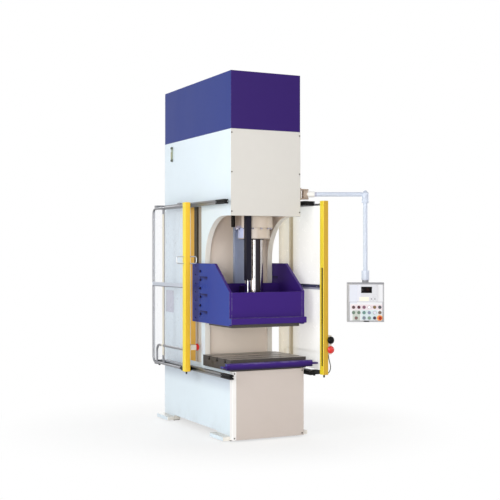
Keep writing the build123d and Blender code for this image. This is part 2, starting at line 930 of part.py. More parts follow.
# Stroke transducer: square housing under the head, and its rod on the slide
transducer_y = front + transducer_setback
transducer_bottom = floor + transducer_bottom_height
transducer_length = plate_bottom - transducer_bottom
transducer_rod_top = transducer_bottom + transducer_rod_share * transducer_length
with BuildPart() as transducer_tube:
    with BuildSketch(Plane.XY.offset(transducer_bottom)):
        with Locations((transducer_x, transducer_y)):
            Rectangle(transducer_width, transducer_width)
            Rectangle(
                transducer_width - 2 * transducer_wall,
                transducer_width - 2 * transducer_wall,
                mode=Mode.SUBTRACT,
            )
    extrude(amount=transducer_length)
write(transducer_tube, "transducer_tube")

with BuildPart() as transducer_rod:
    with BuildSketch(Plane.XY.offset(ram_top)):
        with Locations((transducer_x, transducer_y)):
            Rectangle(clevis_width, clevis_width)
    extrude(amount=clevis_height)
    with BuildSketch(Plane.XY.offset(ram_top + clevis_height)):
        with Locations((transducer_x, transducer_y)):
            Circle(transducer_rod_radius)
    extrude(amount=transducer_rod_top - ram_top - clevis_height)
write(transducer_rod, "transducer_rod")

# Oil tank between the cheeks, with a filler hole in its lid
tank_front = front + tank_front_setback
tank_back = back - rear_plate_thickness
tank_middle = (tank_front + tank_back) / 2
with BuildPart() as oil_tank:
    slab(between, (tank_front, tank_back), (head_top - tank_height, head_top))
    slab(
        (-cheek_inner + tank_wall, cheek_inner - tank_wall),
        (tank_front + tank_wall, tank_back - tank_wall),
        (head_top - tank_height + tank_wall, head_top - tank_wall),
        mode=Mode.SUBTRACT,
    )
    with Locations((-cheek_inner / 2, tank_middle, head_top)):
        Hole(radius=filler_radius, depth=tank_wall)
write(oil_tank, "oil_tank")

# Motor and pump on one axis, on the tank lid
valve_front = front + valve_front_setback
valve_back = valve_front + valve_depth
motor_front = valve_back + pump_gap + pump_length
motor_z = head_top + motor_axis_rise
motor_back = back - motor_rear_inset
cowl_front = motor_back - motor_cowl_share * (motor_back - motor_front)
cowl_radius = motor_radius + motor_cowl_step
with BuildPart() as pump_motor:
    with BuildSketch(Plane(origin=(0, 0, motor_z), x_dir=(0, 1, 0), z_dir=(1, 0, 0))):
        with BuildLine():
            Polyline(
                (motor_front - pump_length, 0),
                (motor_front - pump_length, pump_radius),
                (motor_front, pump_radius),
                (motor_front, motor_radius),
                (cowl_front, motor_radius),
                (cowl_front, cowl_radius),
                (motor_back, cowl_radius),
                (motor_back, 0),
                close=True,
            )
        make_face()
    revolve(axis=Axis((0, 0, motor_z), (0, 1, 0)))
    slab(
        (-motor_foot_width / 2, motor_foot_width / 2),
        (motor_front, cowl_front),
        (head_top, motor_z - motor_radius / 2),
    )
write(pump_motor, "pump_motor")

# Valve block on the tank lid, with two solenoids and the pipe to the cylinder cap
pipe_z = head_top + pipe_rise
with BuildPart() as valve_block:
    slab(
        (-valve_width / 2, valve_width / 2),
        (valve_front, valve_back),
        (head_top, head_top + valve_height),
    )
    for sign in SIDES.values():
        with BuildSketch(Plane.YZ.offset(sign * valve_width / 2)):
            with Locations((valve_front + valve_depth / 2, head_top + valve_height / 2)):
                Circle(solenoid_radius)
        extrude(amount=sign * solenoid_length)
    with BuildLine():
        FilletPolyline(
            (0, valve_front, pipe_z),
            (0, cylinder_y, pipe_z),
            (0, cylinder_y, barrel_top),
            radius=pipe_bend,
        )
    with BuildSketch(Plane.XZ.offset(-valve_front)):
        with Locations((0, pipe_z)):
            Circle(pipe_radius)
    sweep()
write(valve_block, "valve_block")

# Oil level gauge on the left cheek
gauge_y = back - gauge_rear_inset
gauge_bottom = head_top - gauge_drop
with BuildPart() as oil_level_gauge:
    with BuildSketch(Plane.YZ.offset(-half_width)):
        with Locations((gauge_y, gauge_bottom + gauge_length / 2)):
            SlotOverall(gauge_length, gauge_width, rotation=90)
    extrude(amount=-gauge_thickness)
    boss_places = [gauge_bottom + gauge_width / 2, gauge_bottom + gauge_length - gauge_width / 2]
    with BuildSketch(Plane.YZ.offset(-half_width - gauge_thickness)):
        with Locations(*[(gauge_y, z) for z in boss_places]):
            Circle(gauge_boss_radius)
    extrude(amount=-gauge_boss_height)
write(oil_level_gauge, "oil_level_gauge")

# Guard rails: a slotted profile above and below on each side
rail_ends = (
    (top_rail_z, front + top_rail_front_setback),
    (bottom_rail_z, front + bottom_rail_front_setback),
)
rail_rear = back - rail_rear_inset
slot_centre = rail_size / 2 - rail_slot_depth / 2
for side, sign in SIDES.items():
    with BuildPart() as rails:
        for rail_z, rail_front in rail_ends:
            with BuildSketch(Plane.XZ.offset(-rail_front)):
                with Locations((sign * rail_centre, rail_z)):
                    RectangleRounded(rail_size, rail_size, rail_corner_radius)
                    with Locations((-slot_centre, 0), (slot_centre, 0)):
                        Rectangle(rail_slot_depth, rail_slot_width, mode=Mode.SUBTRACT)
                    with Locations((0, -slot_centre), (0, slot_centre)):
                        Rectangle(rail_slot_width, rail_slot_depth, mode=Mode.SUBTRACT)
            extrude(amount=rail_front - rail_rear)
    write(rails, f"{side}_rails")

# Light-curtain posts: a groove for the lens on the inner face and a stud below
for side, sign in SIDES.items():
    post_front = POST_FRONTS[side]
    post_y = post_front + guard_post_depth / 2
    with BuildPart() as post:
        with BuildSketch(Plane.XY.offset(post_bottom)):
            with Locations((sign * guard_post_x, post_y)):
                RectangleRounded(guard_post_width, guard_post_depth, guard_post_radius)
        extrude(amount=post_top - post_bottom)
        slab(
            (sign * guard_post_inner, sign * (guard_post_inner + lens_groove_depth)),
            (post_front + lens_groove_offset, post_front + lens_groove_offset + lens_groove_width),
            (floor + lens_bottom_height, floor + lens_top_height),
            mode=Mode.SUBTRACT,
        )
        with BuildSketch(Plane.XY.offset(post_bottom)):
            with Locations((sign * guard_post_x, post_y)):
                Circle(post_stud_radius)
        extrude(amount=-post_stud_length)
        if side == "left":
            ring_bottom = floor + ring_bottom_height
            ring_top = ring_bottom + ring_height - 2 * ring_radius
            for face_x, reach in (
                (-guard_post_outer, -ring_reach),
                (-guard_post_inner, ring_reach),
            ):
                with BuildLine():
                    FilletPolyline(
                        (face_x, post_y, ring_bottom + ring_radius),
                        (face_x + reach, post_y, ring_bottom + ring_radius),
                        (face_x + reach, post_y, ring_top + ring_radius),
                        (face_x, post_y, ring_top + ring_radius),
                        radius=ring_bend,
                    )
                with BuildSketch(Plane.YZ.offset(face_x)):
                    with Locations((post_y, ring_bottom + ring_radius)):
                        Circle(ring_radius)
                sweep()
    write(post, f"{side}_post")

# Boxes of the palm buttons, beside the posts
left_box_face = guard_post_inner - left_box_front_reach
left_palm_y = POST_FRONTS["left"] + left_box_offset + left_box_depth / 2
left_palm_z = floor + left_palm_height
right_box_x = guard_post_outer + right_box_width / 2
right_box_front = POST_FRONTS["right"] + right_box_offset

# Guard frames: bent tube, mid rail, upright, U pipe, carriages on the rails and button boxes
for side, sign in SIDES.items():
    post_front = POST_FRONTS[side]
    post_back = post_front + guard_post_depth
    frame_rear = post_front + guard_length
    pipe_rear = post_front + guard_pipe_length
    tube_plane = Plane.YZ.offset(sign * guard_x)
    carriage_inner = rail_outer + carriage_gap
    carriages = [
        (post_front + carriage_top_front, top_rail_z),
        (post_front + carriage_rear, top_rail_z),
        (post_front + carriage_bottom_front, bottom_rail_z),
        (post_front + carriage_rear, bottom_rail_z),
    ]
    with BuildPart() as guard_frame:
        with BuildLine(tube_plane):
            FilletPolyline(
                (post_back, top_tube_z),
                (frame_rear - guard_tube_radius, top_tube_z),
                (frame_rear - guard_tube_radius, bottom_tube_z),
                (post_back, bottom_tube_z),
                radius=guard_bend_radius,
            )
        with BuildSketch(Plane.XZ.offset(-post_back)):
            with Locations((sign * guard_x, top_tube_z)):
                Circle(guard_tube_radius)
        sweep()
        with BuildLine(tube_plane):
            FilletPolyline(
                (post_back, floor + guard_pipe_height),
                (pipe_rear, floor + guard_pipe_height),
                (pipe_rear, bottom_tube_z),
                radius=guard_pipe_bend,
            )
        with BuildSketch(Plane.XZ.offset(-post_back)):
            with Locations((sign * guard_x, floor + guard_pipe_height)):
                Circle(guard_tube_radius)
        sweep()
        mid_rail_z = floor + guard_mid_rail_height
        slab(
            (sign * panel_face, sign * (panel_face + guard_mid_rail_thickness)),
            (post_back, frame_rear - guard_tube_radius),
            (mid_rail_z - guard_mid_rail_size / 2, mid_rail_z + guard_mid_rail_size / 2),
        )
        slab(
            (sign * panel_face, sign * (panel_face + guard_upright_thickness)),
            (
                post_front + guard_upright_offset - guard_upright_width / 2,
                post_front + guard_upright_offset + guard_upright_width / 2,
            ),
            (bottom_tube_z, top_tube_z),
        )
        for carriage_y, rail_z in carriages:
            slab(
                (sign * carriage_inner, sign * guard_x),
                (carriage_y, carriage_y + carriage_length),
                (rail_z - carriage_height / 2, rail_z + carriage_height / 2),
            )
            slab(
                (sign * (rail_outer - tongue_depth), sign * carriage_inner),
                (carriage_y, carriage_y + carriage_length),
                (rail_z - tongue_width / 2, rail_z + tongue_width / 2),
            )
        for carriage_y in (post_front + carriage_bottom_front, post_front + carriage_rear):
            with BuildSketch(Plane.XY.offset(bottom_rail_z - carriage_height / 2)):
                with Locations((sign * (carriage_inner + guard_x) / 2, carriage_y + carriage_length / 2)):
                    Circle(knob_radius)
            extrude(amount=-knob_length)
        foot_carriage_y = post_front + carriage_bottom_front
        with BuildSketch(Plane.XY.offset(bottom_tube_z - foot_arm_thickness / 2)):
            with BuildLine():
                Polyline(
                    (sign * carriage_inner, foot_carriage_y),
                    (sign * guard_post_inner, post_back),
                    (sign * guard_post_outer, post_back),
                    (sign * guard_x, foot_carriage_y + carriage_length),
                    (sign * carriage_inner, foot_carriage_y + carriage_length),
                    close=True,
                )
            make_face()
        extrude(amount=foot_arm_thickness)
        if side == "left":
            box_y = post_front + left_box_offset
            slab(
                (-guard_post_inner, -left_box_face),
                (box_y, box_y + left_box_depth),
                (left_palm_z - left_box_height / 2, left_palm_z + left_box_height / 2),
            )
            slab(
                (-guard_post_inner, -left_box_face),
                (box_y + left_box_depth, post_back),
                (left_palm_z + left_box_height / 2 - lug_thickness, left_palm_z + left_box_height / 2),
            )
            slab(
                (-guard_x, -left_box_face),
                (post_back, post_back + box_bracket_thickness),
                (floor + guard_pipe_height, left_palm_z + left_box_height / 2),
            )
            with BuildSketch(Plane.YZ.offset(-left_box_face)):
                with Locations((left_palm_y, left_palm_z)):
                    Circle(palm_stem_radius + palm_fit)
            extrude(amount=-palm_bore_depth, mode=Mode.SUBTRACT)
        else:
            box_bottom = floor + right_stop_height - right_box_under
            box_top = floor + right_start_height + right_box_over
            slab(
                (guard_post_outer, guard_post_outer + right_box_width),
                (right_box_front, right_box_front + right_box_depth),
                (box_bottom, box_top),
            )
            with BuildSketch(Plane.XZ.offset(-right_box_front)):
                with Locations(
                    (right_box_x, floor + right_stop_height),
                    (right_box_x, floor + right_start_height),
                ):
                    Circle(palm_stem_radius + palm_fit)
            extrude(amount=-palm_bore_depth, mode=Mode.SUBTRACT)
            slab(
                (guard_x, guard_post_outer + right_box_width),
                (post_back, post_back + box_bracket_thickness),
                (box_bottom, box_top),
            )
            slab(
                (guard_post_outer, guard_post_outer + right_box_width),
                (right_box_front + right_box_depth, post_back),
                (box_bottom, box_bottom + lug_thickness),
            )
    write(guard_frame, f"{side}_guard_frame")

# Clear panels on the inner side of the guard tubes
for side, sign in SIDES.items():
    post_back = POST_FRONTS[side] + guard_post_depth
    with BuildPart() as guard_panel:
        slab(
            (sign * (panel_face - panel_thickness), sign * panel_face),
            (post_back + panel_front_gap, POST_FRONTS[side] + guard_length - panel_rear_gap),
            (
                bottom_rail_z + carriage_height / 2 + panel_front_gap,
                top_rail_z - carriage_height / 2 - panel_front_gap,
            ),
        )
    write(guard_panel, f"{side}_guard_panel")


def dome_radius(edge_radius, rise):
    """Radius of the sphere through a dome's edge and its top."""
    return (edge_radius**2 + rise**2) / (2 * rise)


def palm_button(name, origin, facing):
    """A mushroom-headed button whose stem slides in a bore; origin is on the face of its box."""
    axis_plane = Plane(origin=origin, x_dir=facing, z_dir=Vector(*facing).cross(Vector(0, 0, 1)))
    head_end = palm_gap + palm_head_height
    with BuildPart() as button:
        with BuildSketch(axis_plane):
            with BuildLine():
                Polyline(
                    (head_end, 0),
                    (-palm_stem_inside, 0),
                    (-palm_stem_inside, palm_stem_radius),
                    (palm_gap, palm_stem_radius),
                    (palm_gap, palm_head_radius),
                    (palm_gap + palm_rim, palm_head_radius),
                )
                RadiusArc(
                    (palm_gap + palm_rim, palm_head_radius),
                    (head_end, 0),
                    dome_radius(palm_head_radius, palm_head_height - palm_rim),
                )
            make_face()
        revolve(axis=Axis(origin, facing))
    write(button, name)


palm_button("left_stop_button", (-left_box_face, left_palm_y, left_palm_z), (1, 0, 0))
palm_button(
    "right_stop_button", (right_box_x, right_box_front, floor + right_stop_height), (0, -1, 0)
)
palm_button(
    "right_start_button", (right_box_x, right_box_front, floor + right_start_height), (0, -1, 0)
)

# Lead from the right-hand button box to the post foot, in tangent arcs as large as its runs allow
turns = []
cable_radii = []
for before, corner, after in zip(cable_points, cable_points[1:], cable_points[2:]):
    run_in = Vector(*corner) - Vector(*before)
    run_out = Vector(*after) - Vector(*corner)
    turn = run_in.get_angle(run_out)
    turns.append(turn)
    shorter = min(run_in.length, run_out.length)
    cable_radii.append(cable_bend_share * shorter / math.tan(math.radians(turn) / 2))
print("cable radii", [round(radius, 1) for radius in cable_radii])
with BuildPart() as button_cable:
    with BuildLine() as cable_path:
        FilletPolyline(*cable_points, radius=cable_radii)
    with BuildSketch(Plane(origin=cable_path.line @ 0, z_dir=cable_path.line % 0)):
        Circle(cable_radius)
    sweep()
cable_length = cable_path.wire().length
cable_ratio = button_cable.part.volume / (math.pi * cable_radius**2 * cable_length)
print("cable length", round(cable_length, 1), "volume against section by length", round(cable_ratio, 4))
write(button_cable, "button_cable")

# Bracket of the pendant arm: a wall plate and two eyes on the right cheek
arm_y = front + arm_setback
arm_z = top_rail_z + arm_over_rail
hub_bottom = arm_z - arm_hub_height / 2
hub_top = arm_z + arm_hub_height / 2
bracket_bottom = hub_bottom - arm_play - arm_rib_thickness
bracket_top = hub_top + arm_play + arm_rib_thickness
plate_front = max(arm_y - arm_plate_width / 2, cheek_front)
with BuildPart() as arm_bracket:
    slab(
        (half_width, half_width + arm_plate_thickness),
        (plate_front, plate_front + arm_plate_width),
        (bracket_bottom - arm_plate_margin, bracket_top + arm_plate_margin),
    )
    for rib_bottom in (bracket_bottom, hub_top + arm_play):
        with BuildSketch(Plane.XY.offset(rib_bottom)):
            with Locations((arm_x, arm_y)):
                Circle(arm_rib_radius)
            with Locations(((half_width + arm_x) / 2, arm_y)):
                Rectangle(arm_x - half_width, 2 * arm_rib_radius)
            with Locations((arm_x, arm_y)):
                Circle(arm_pin_radius + arm_pin_fit, mode=Mode.SUBTRACT)
        extrude(amount=arm_rib_thickness)
write(arm_bracket, "arm_bracket")

# Pendant arm: hub and pin, tube bent down at the elbow, coupling at its foot
along = Vector(math.cos(math.radians(arm_turn)), math.sin(math.radians(arm_turn)), 0)
facing = Vector(along.Y, -along.X, 0)
drop_x = arm_x + arm_length * along.X
drop_y = arm_y + arm_length * along.Y
coupling_top = floor + coupling_top_height
coupling_bottom = floor + coupling_bottom_height
tube_start = Vector(arm_x, arm_y, arm_z)
with BuildPart() as pendant_arm:
    with BuildSketch(Plane.XY.offset(hub_bottom)):
        with Locations((arm_x, arm_y)):
            Circle(arm_hub_radius)
    extrude(amount=arm_hub_height)
    with BuildSketch(Plane.XY.offset(bracket_bottom)):
        with Locations((arm_x, arm_y)):
            Circle(arm_pin_radius)
    extrude(amount=bracket_top - bracket_bottom)
    with BuildSketch(Plane(origin=tube_start, z_dir=along)):
        Circle(arm_collar_radius)
    extrude(amount=arm_collar_reach)
    with BuildSketch(Plane.XY.offset(arm_z - elbow_drop)):
        with Locations((drop_x, drop_y)):
            Circle(elbow_radius)
    extrude(amount=elbow_drop + elbow_top_rise)
    elbow_crown = (drop_x, drop_y, arm_z + elbow_top_rise)
    chamfer(
        pendant_arm.edges().filter_by(GeomType.CIRCLE).sort_by_distance(elbow_crown)[0],
        elbow_chamfer,
    )
    with BuildSketch(Plane.XY.offset(coupling_bottom)):
        with Locations((drop_x, drop_y)):
            Circle(coupling_radius)
    extrude(amount=coupling_top - coupling_bottom)
    with BuildLine():
        FilletPolyline(
            tube_start + along * arm_hub_radius / 2,
            (drop_x, drop_y, arm_z),
            (drop_x, drop_y, coupling_top - arm_bend / 2),
            radius=arm_bend,
        )
    with BuildSketch(Plane(origin=tube_start + along * arm_hub_radius / 2, z_dir=along)):
        Circle(arm_tube_radius)
    sweep()
    with BuildSketch(Plane.XY.offset(coupling_bottom)):
        with Locations((drop_x, drop_y)):
            Circle(pendant_pin_radius + arm_pin_fit)
    extrude(amount=pendant_pin_length + 2 * arm_play, mode=Mode.SUBTRACT)
write(pendant_arm, "pendant_arm")

# Pendant case: a tub open towards the operator, with the neck and pin that turn in the coupling
pendant_bottom = floor + pendant_bottom_height
pendant_top = pendant_bottom + pendant_height
case_front = pendant_depth / 2
panel_front = case_front + front_panel_thickness
pendant_plan = Plane(origin=(drop_x, drop_y, 0), x_dir=along, z_dir=(0, 0, 1))


def on_front(distance):
    """The plane parallel to the pendant's face, at a distance in front of the drop axis."""
    origin = Vector(drop_x, drop_y, 0) + facing * distance
    return Plane(origin=origin, x_dir=along, z_dir=facing)


with BuildPart() as pendant_case:
    with BuildSketch(pendant_plan.offset(pendant_bottom)):
        RectangleRounded(pendant_width, pendant_depth, pendant_corner_radius)
    extrude(amount=pendant_height)
    with BuildSketch(on_front(case_front)):
        with Locations((0, pendant_bottom + pendant_height / 2)):
            Rectangle(pendant_width - 2 * pendant_corner_radius, pendant_height - 2 * pendant_wall)
    extrude(amount=-(pendant_depth - pendant_wall), mode=Mode.SUBTRACT)
    with BuildSketch(Plane.XY.offset(pendant_top)):
        with Locations((drop_x, drop_y)):
            Circle(pendant_neck_radius)
    extrude(amount=coupling_bottom - arm_play - pendant_top)
    with BuildSketch(Plane.XY.offset(pendant_top)):
        with Locations((drop_x, drop_y)):
            Circle(pendant_pin_radius)
    extrude(amount=coupling_bottom - pendant_top + pendant_pin_length)
write(pendant_case, "pendant_case")

# Places of the devices on the front panel, as columns and rows
columns = [device_first_u + i * device_pitch for i in range(6)]
rows = [floor + device_top_row_height - i * device_row_pitch for i in range(3)]
lamp_places = [(u, rows[0]) for u in columns] + [(columns[0], rows[1]), (columns[1], rows[1])]
button_places = {
    "green_button": (columns[2], rows[1]),
    "blue_button": (columns[3], rows[1]),
    "white_button": (columns[4], rows[1]),
    "grey_button": (columns[2], rows[2]),
    "start_button": (columns[3], rows[2]),
    "black_button": (columns[4], rows[2]),
}
selector_place = (columns[5], rows[1])
key_place = ((columns[0] + columns[1]) / 2, rows[2])
estop_place = (columns[5], rows[2])
ringed_places = [*button_places.values(), selector_place, key_place]
device_places = [*lamp_places, *ringed_places, estop_place]
shaft_radius = device_hole_radius - device_fit
cap_radius = bezel_radius - 2 * bezel_gap - bezel_height / 2

# Front panel: a plate over the tub, with bezels, a device plate and the stop button's disc
with BuildPart() as front_panel:
    with BuildSketch(on_front(case_front)):
        with Locations((0, pendant_bottom + pendant_height / 2)):
            RectangleRounded(
                pendant_width - front_panel_margin,
                pendant_height - front_panel_margin,
                pendant_corner_radius - front_panel_margin / 2,
            )
    extrude(amount=front_panel_thickness)
    with BuildSketch(on_front(panel_front)):
        with Locations((port_plate_centre[0], floor + port_plate_centre[1])):
            Rectangle(*port_plate_size)
        with Locations(estop_place):
            Circle(estop_disc_radius)
    extrude(amount=port_plate_thickness)
    with BuildSketch(on_front(panel_front)):
        with Locations(*ringed_places, *lamp_places):
            Circle(bezel_radius)
    extrude(amount=bezel_height)
    with BuildSketch(on_front(panel_front)):
        with Locations(*ringed_places, *lamp_places):
            Circle(cap_radius + bezel_gap)
    extrude(amount=bezel_height, mode=Mode.SUBTRACT)
    with BuildSketch(on_front(case_front)):
        with Locations(*device_places):
            Circle(device_hole_radius)
    extrude(amount=front_panel_thickness + port_plate_thickness, mode=Mode.SUBTRACT)
write(front_panel, "front_panel")

with BuildPart() as display_unit:
    with BuildSketch(on_front(panel_front)):
        with Locations((display_centre[0], floor + display_centre[1])):
            RectangleRounded(*display_size, display_corner_radius)
    extrude(amount=display_thickness)
    with BuildSketch(on_front(panel_front + display_thickness)):
        with Locations((screen_centre[0], floor + screen_centre[1])):
            Rectangle(*screen_size)
    extrude(amount=-screen_recess, mode=Mode.SUBTRACT)
write(display_unit, "display_unit")


def disc(place, radius, low, high):
    """A disc of the part being built, between two distances in front of the panel."""
    with BuildSketch(on_front(panel_front + low)) as outline:
        with Locations(place):
            Circle(radius)
    extrude(outline.sketch, amount=high - low)


def held_shaft(place, top):
    """The shaft of a device through the panel, with the retainer behind it."""
    retainer_front = -front_panel_thickness - retainer_play
    disc(place, shaft_radius, -front_panel_thickness - stem_length, top)
    disc(place, retainer_radius, retainer_front - retainer_thickness, retainer_front)


def outermost(piece):
    """Edges of the face of a piece that stands furthest in front of the panel."""
    return piece.faces().sort_by(Axis((0, 0, 0), facing))[-1].edges()


with BuildPart() as pilot_lamps:
    with BuildSketch(on_front(case_front)):
        with Locations(*lamp_places):
            Circle(shaft_radius)
    extrude(amount=front_panel_thickness)
    with BuildSketch(on_front(panel_front)):
        with Locations(*lamp_places):
            Circle(cap_radius)
    extrude(amount=lamp_height)
    lamp_fronts = pilot_lamps.faces().filter_by(Axis((0, 0, 0), facing))
    fillet(lamp_fronts.group_by(Axis((0, 0, 0), facing))[-1].edges(), cap_edge)
write(pilot_lamps, "pilot_lamps")

cap_low = button_travel + bezel_gap
for name, place in button_places.items():
    with BuildPart() as button:
        held_shaft(place, cap_low)
        disc(place, cap_radius, cap_low, cap_low + cap_height)
        fillet(outermost(button), cap_edge)
    write(button, name)

# Selector and key switch: a disc that turns in its bezel, with a bar or a key's bow on it
for name, place, grip_width, grip_length, grip_height in (
    ("selector_switch", selector_place, knob_bar_width, 2 * cap_radius, knob_bar_height),
    ("key_switch", key_place, key_bow_width, key_bow_length, key_bow_height),
):
    with BuildPart() as switch:
        held_shaft(place, bezel_gap)
        disc(place, cap_radius, bezel_gap, bezel_gap + cap_height)
        fillet(outermost(switch), cap_edge)
        with BuildSketch(on_front(panel_front + bezel_gap + cap_height)):
            with Locations(place):
                SlotOverall(grip_length, grip_width, rotation=90)
        extrude(amount=grip_height)
    write(switch, name)

# Emergency stop: a domed head on its shaft, in front of its disc
estop_low = port_plate_thickness + estop_gap
with BuildPart() as emergency_stop:
    held_shaft(estop_place, estop_low)
    disc(estop_place, estop_head_radius, estop_low, estop_low + estop_head_height)
    fillet(outermost(emergency_stop), estop_head_height / 2)
write(emergency_stop, "emergency_stop")
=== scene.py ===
"""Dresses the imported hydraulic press: camera, light, finishes and the small pieces on its solids."""

import json
import math

import bmesh
import bpy
from mathutils import Matrix, Vector


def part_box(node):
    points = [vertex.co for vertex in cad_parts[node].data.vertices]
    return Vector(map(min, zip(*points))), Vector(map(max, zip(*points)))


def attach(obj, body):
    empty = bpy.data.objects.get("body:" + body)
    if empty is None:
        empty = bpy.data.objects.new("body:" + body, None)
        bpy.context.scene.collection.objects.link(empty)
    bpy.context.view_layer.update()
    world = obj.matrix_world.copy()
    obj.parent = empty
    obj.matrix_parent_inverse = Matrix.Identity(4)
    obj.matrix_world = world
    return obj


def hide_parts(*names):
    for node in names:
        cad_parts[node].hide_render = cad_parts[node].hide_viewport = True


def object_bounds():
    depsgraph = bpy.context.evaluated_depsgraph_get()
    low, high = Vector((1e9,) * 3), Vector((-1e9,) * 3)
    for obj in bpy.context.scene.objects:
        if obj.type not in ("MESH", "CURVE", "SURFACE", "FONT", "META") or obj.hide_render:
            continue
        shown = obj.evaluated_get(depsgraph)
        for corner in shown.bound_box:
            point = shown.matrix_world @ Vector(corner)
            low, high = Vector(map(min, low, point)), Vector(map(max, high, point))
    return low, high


bl_info = {
    "name": "Hydraulic press dressing",
    "version": (1, 0, 0),
    "blender": (4, 5, 0),
    "location": "3D View > Sidebar > Press",
    "description": "Finishes and small pieces of a C-frame press with sliding guards",
    "category": "Object",
}

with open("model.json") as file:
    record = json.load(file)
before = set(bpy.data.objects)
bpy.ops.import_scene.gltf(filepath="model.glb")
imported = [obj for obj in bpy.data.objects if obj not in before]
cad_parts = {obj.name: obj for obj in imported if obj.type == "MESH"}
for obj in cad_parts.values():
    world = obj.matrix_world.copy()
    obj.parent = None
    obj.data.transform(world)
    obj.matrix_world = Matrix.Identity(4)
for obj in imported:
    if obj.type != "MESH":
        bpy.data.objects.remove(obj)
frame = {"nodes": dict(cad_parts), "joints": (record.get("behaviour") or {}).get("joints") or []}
CAD_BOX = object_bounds()
JOINTS = {joint["name"]: joint for joint in frame["joints"]}
MM = 0.001

# Where the photograph was taken from
CAMERA_PLACE = Vector((-4.3251, -9.2019, 1.6485))
CAMERA_HEADING = math.radians(-26.363)
CAMERA_LENS = 75.38
CAMERA_SENSOR = 36.0
CAMERA_RISE = 0.0098
CAMERA_REACH = 200

# The floor's half width, and the distances between which it turns white
FLOOR_HALF = 40
FLOOR_FADE = (1.0, 2.4)

# Places on the frame
FLOOR = CAD_BOX[0].z
HEAD_LOW, HEAD_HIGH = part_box("head_cover")
HOOD_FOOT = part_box("hood")[0].z
HALF_WIDTH = HEAD_HIGH.x
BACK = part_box("rear_plate")[1].y
WEB_LOW, WEB_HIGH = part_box("throat_web")
CHEEK_INNER = WEB_HIGH.x
TABLE_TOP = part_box("bolster")[1].z
GLAND_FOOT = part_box("cylinder_gland")[0].z
RAILS_LOW, RAILS_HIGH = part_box("left_rails")
RAIL_SIZE = 40 * MM
RAIL_LEVELS = {"top": RAILS_HIGH.z - RAIL_SIZE / 2, "bottom": RAILS_LOW.z + RAIL_SIZE / 2}
RAIL_FRONTS = {"top": HEAD_LOW.y - 16 * MM, "bottom": RAILS_LOW.y}
RAIL_STOP_LENGTH = 190 * MM
GUARDS = {"left": -1, "right": 1}
POST_X = 508.5 * MM
POST_HALF = 26.5 * MM
POST_FRONTS = {"left": -197.5 * MM, "right": -1001.5 * MM}
POST_DEPTH = 70 * MM
POST_BOTTOM = 559 * MM
LENS_GROOVE = (12 * MM, 38 * MM)
LENS_GROOVE_DEPTH = 6 * MM
LENS_LEVELS = (640 * MM, 1532 * MM)
FOOT_TOP = 35 * MM
FOOT_CENTRES = (-655.5 * MM, 655.5 * MM)
FOOT_LENGTH = 286 * MM
STOP_LUG = ((-68 * MM, -410 * MM, 1290 * MM), (-20 * MM, -379.1 * MM, 1362 * MM))
CLAMP_POCKETS = [(1095.1 + 159.8 * i) * MM for i in range(3)]
CLAMP_POCKET_ENDS = (-355.5 * MM, -178.5 * MM)
CLAMP_POCKET_HALF = 32.5 * MM

# Parts of the guards' frames
TUBE_HALF = 21 * MM
MID_RAIL = 1357 * MM
UPRIGHT_SETBACK = 633 * MM
UPRIGHT_LEVELS = (660 * MM, 2050 * MM)
BUTTON_BOX_LEVELS = (720 * MM, 930 * MM)
FOOT_ARM_LEVELS = (560 * MM, 594 * MM)

# To the right, as the camera sees it
ACROSS = Vector((0.896, -0.444, 0))

# The pendant's own directions: along its face, up, and out of it towards the operator
HUB = Vector(JOINTS["arm_swivel"]["pos_m"])
DROP = Vector(JOINTS["pendant_swivel"]["pos_m"])
ALONG = Vector((DROP.x - HUB.x, DROP.y - HUB.y, 0)).normalized()
FACING = Vector((ALONG.y, -ALONG.x, 0))
PANEL_DISTANCE = 59 * MM
PANEL_LOW, PANEL_HIGH = 1031 * MM, 1394 * MM
PANEL_HALF = 167.5 * MM
DEVICE_COLUMNS = [(-115 + 48.2 * i) * MM for i in range(6)]
DEVICE_ROWS = [(1167.9 - 49.5 * i) * MM for i in range(3)]
STOP_PLACE = (DEVICE_COLUMNS[5], DEVICE_ROWS[2])
LAMP_COLOURS = [
    [(92, 66, 70), (78, 26, 40), (130, 86, 106), (248, 248, 252), (128, 100, 58), (72, 76, 82)],
    [(104, 128, 110), (104, 128, 110)],
]
# Fields on the face: their ends along it, their levels and their colour
PENDANT_FIELDS = [
    ((-0.14, 0.15), (1.145, 1.192), (232, 214, 220)),
    ((-0.045, 0.105), (1.05, 1.142), (208, 226, 230)),
    ((-0.124, -0.055), (1.047, 1.139), (184, 192, 180)),
    ((-0.15, -0.083), (1.2, 1.375), (214, 218, 232)),
]
ON_PANEL = Matrix((
    (ALONG.x, 0, FACING.x, DROP.x + FACING.x * PANEL_DISTANCE),
    (ALONG.y, 0, FACING.y, DROP.y + FACING.y * PANEL_DISTANCE),
    (0, 1, 0, 0),
    (0, 0, 0, 1),
))

# The lead of the right-hand buttons
CABLE_POINTS = [
    (0.553, -0.9675, 0.745),
    (0.556, -0.9675, 0.708),
    (0.567, -0.9675, 0.672),
    (0.577, -0.9675, 0.634),
    (0.574, -0.9675, 0.596),
    (0.551, -0.9675, 0.568),
    (0.533, -0.9675, 0.558),
]
CABLE_RADIUS = 4 * MM

# Faces that meet at more than this stay sharp
SHARP_ANGLE = math.radians(35)


def middle_of(node):
    """The middle of a node's box in X and Y."""
    low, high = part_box(node)
    return (low.x + high.x) / 2, (low.y + high.y) / 2


def srgb(red, green, blue):
    """A screen colour of 0 to 255 as the linear values that shaders take."""
    shares = [value / 255 for value in (red, green, blue)]
    return tuple(s / 12.92 if s <= 0.04045 else ((s + 0.055) / 1.055) ** 2.4 for s in shares)


def darker(colour, share):
    """A colour scaled in brightness."""
    return tuple(min(1.0, value * share) for value in colour)


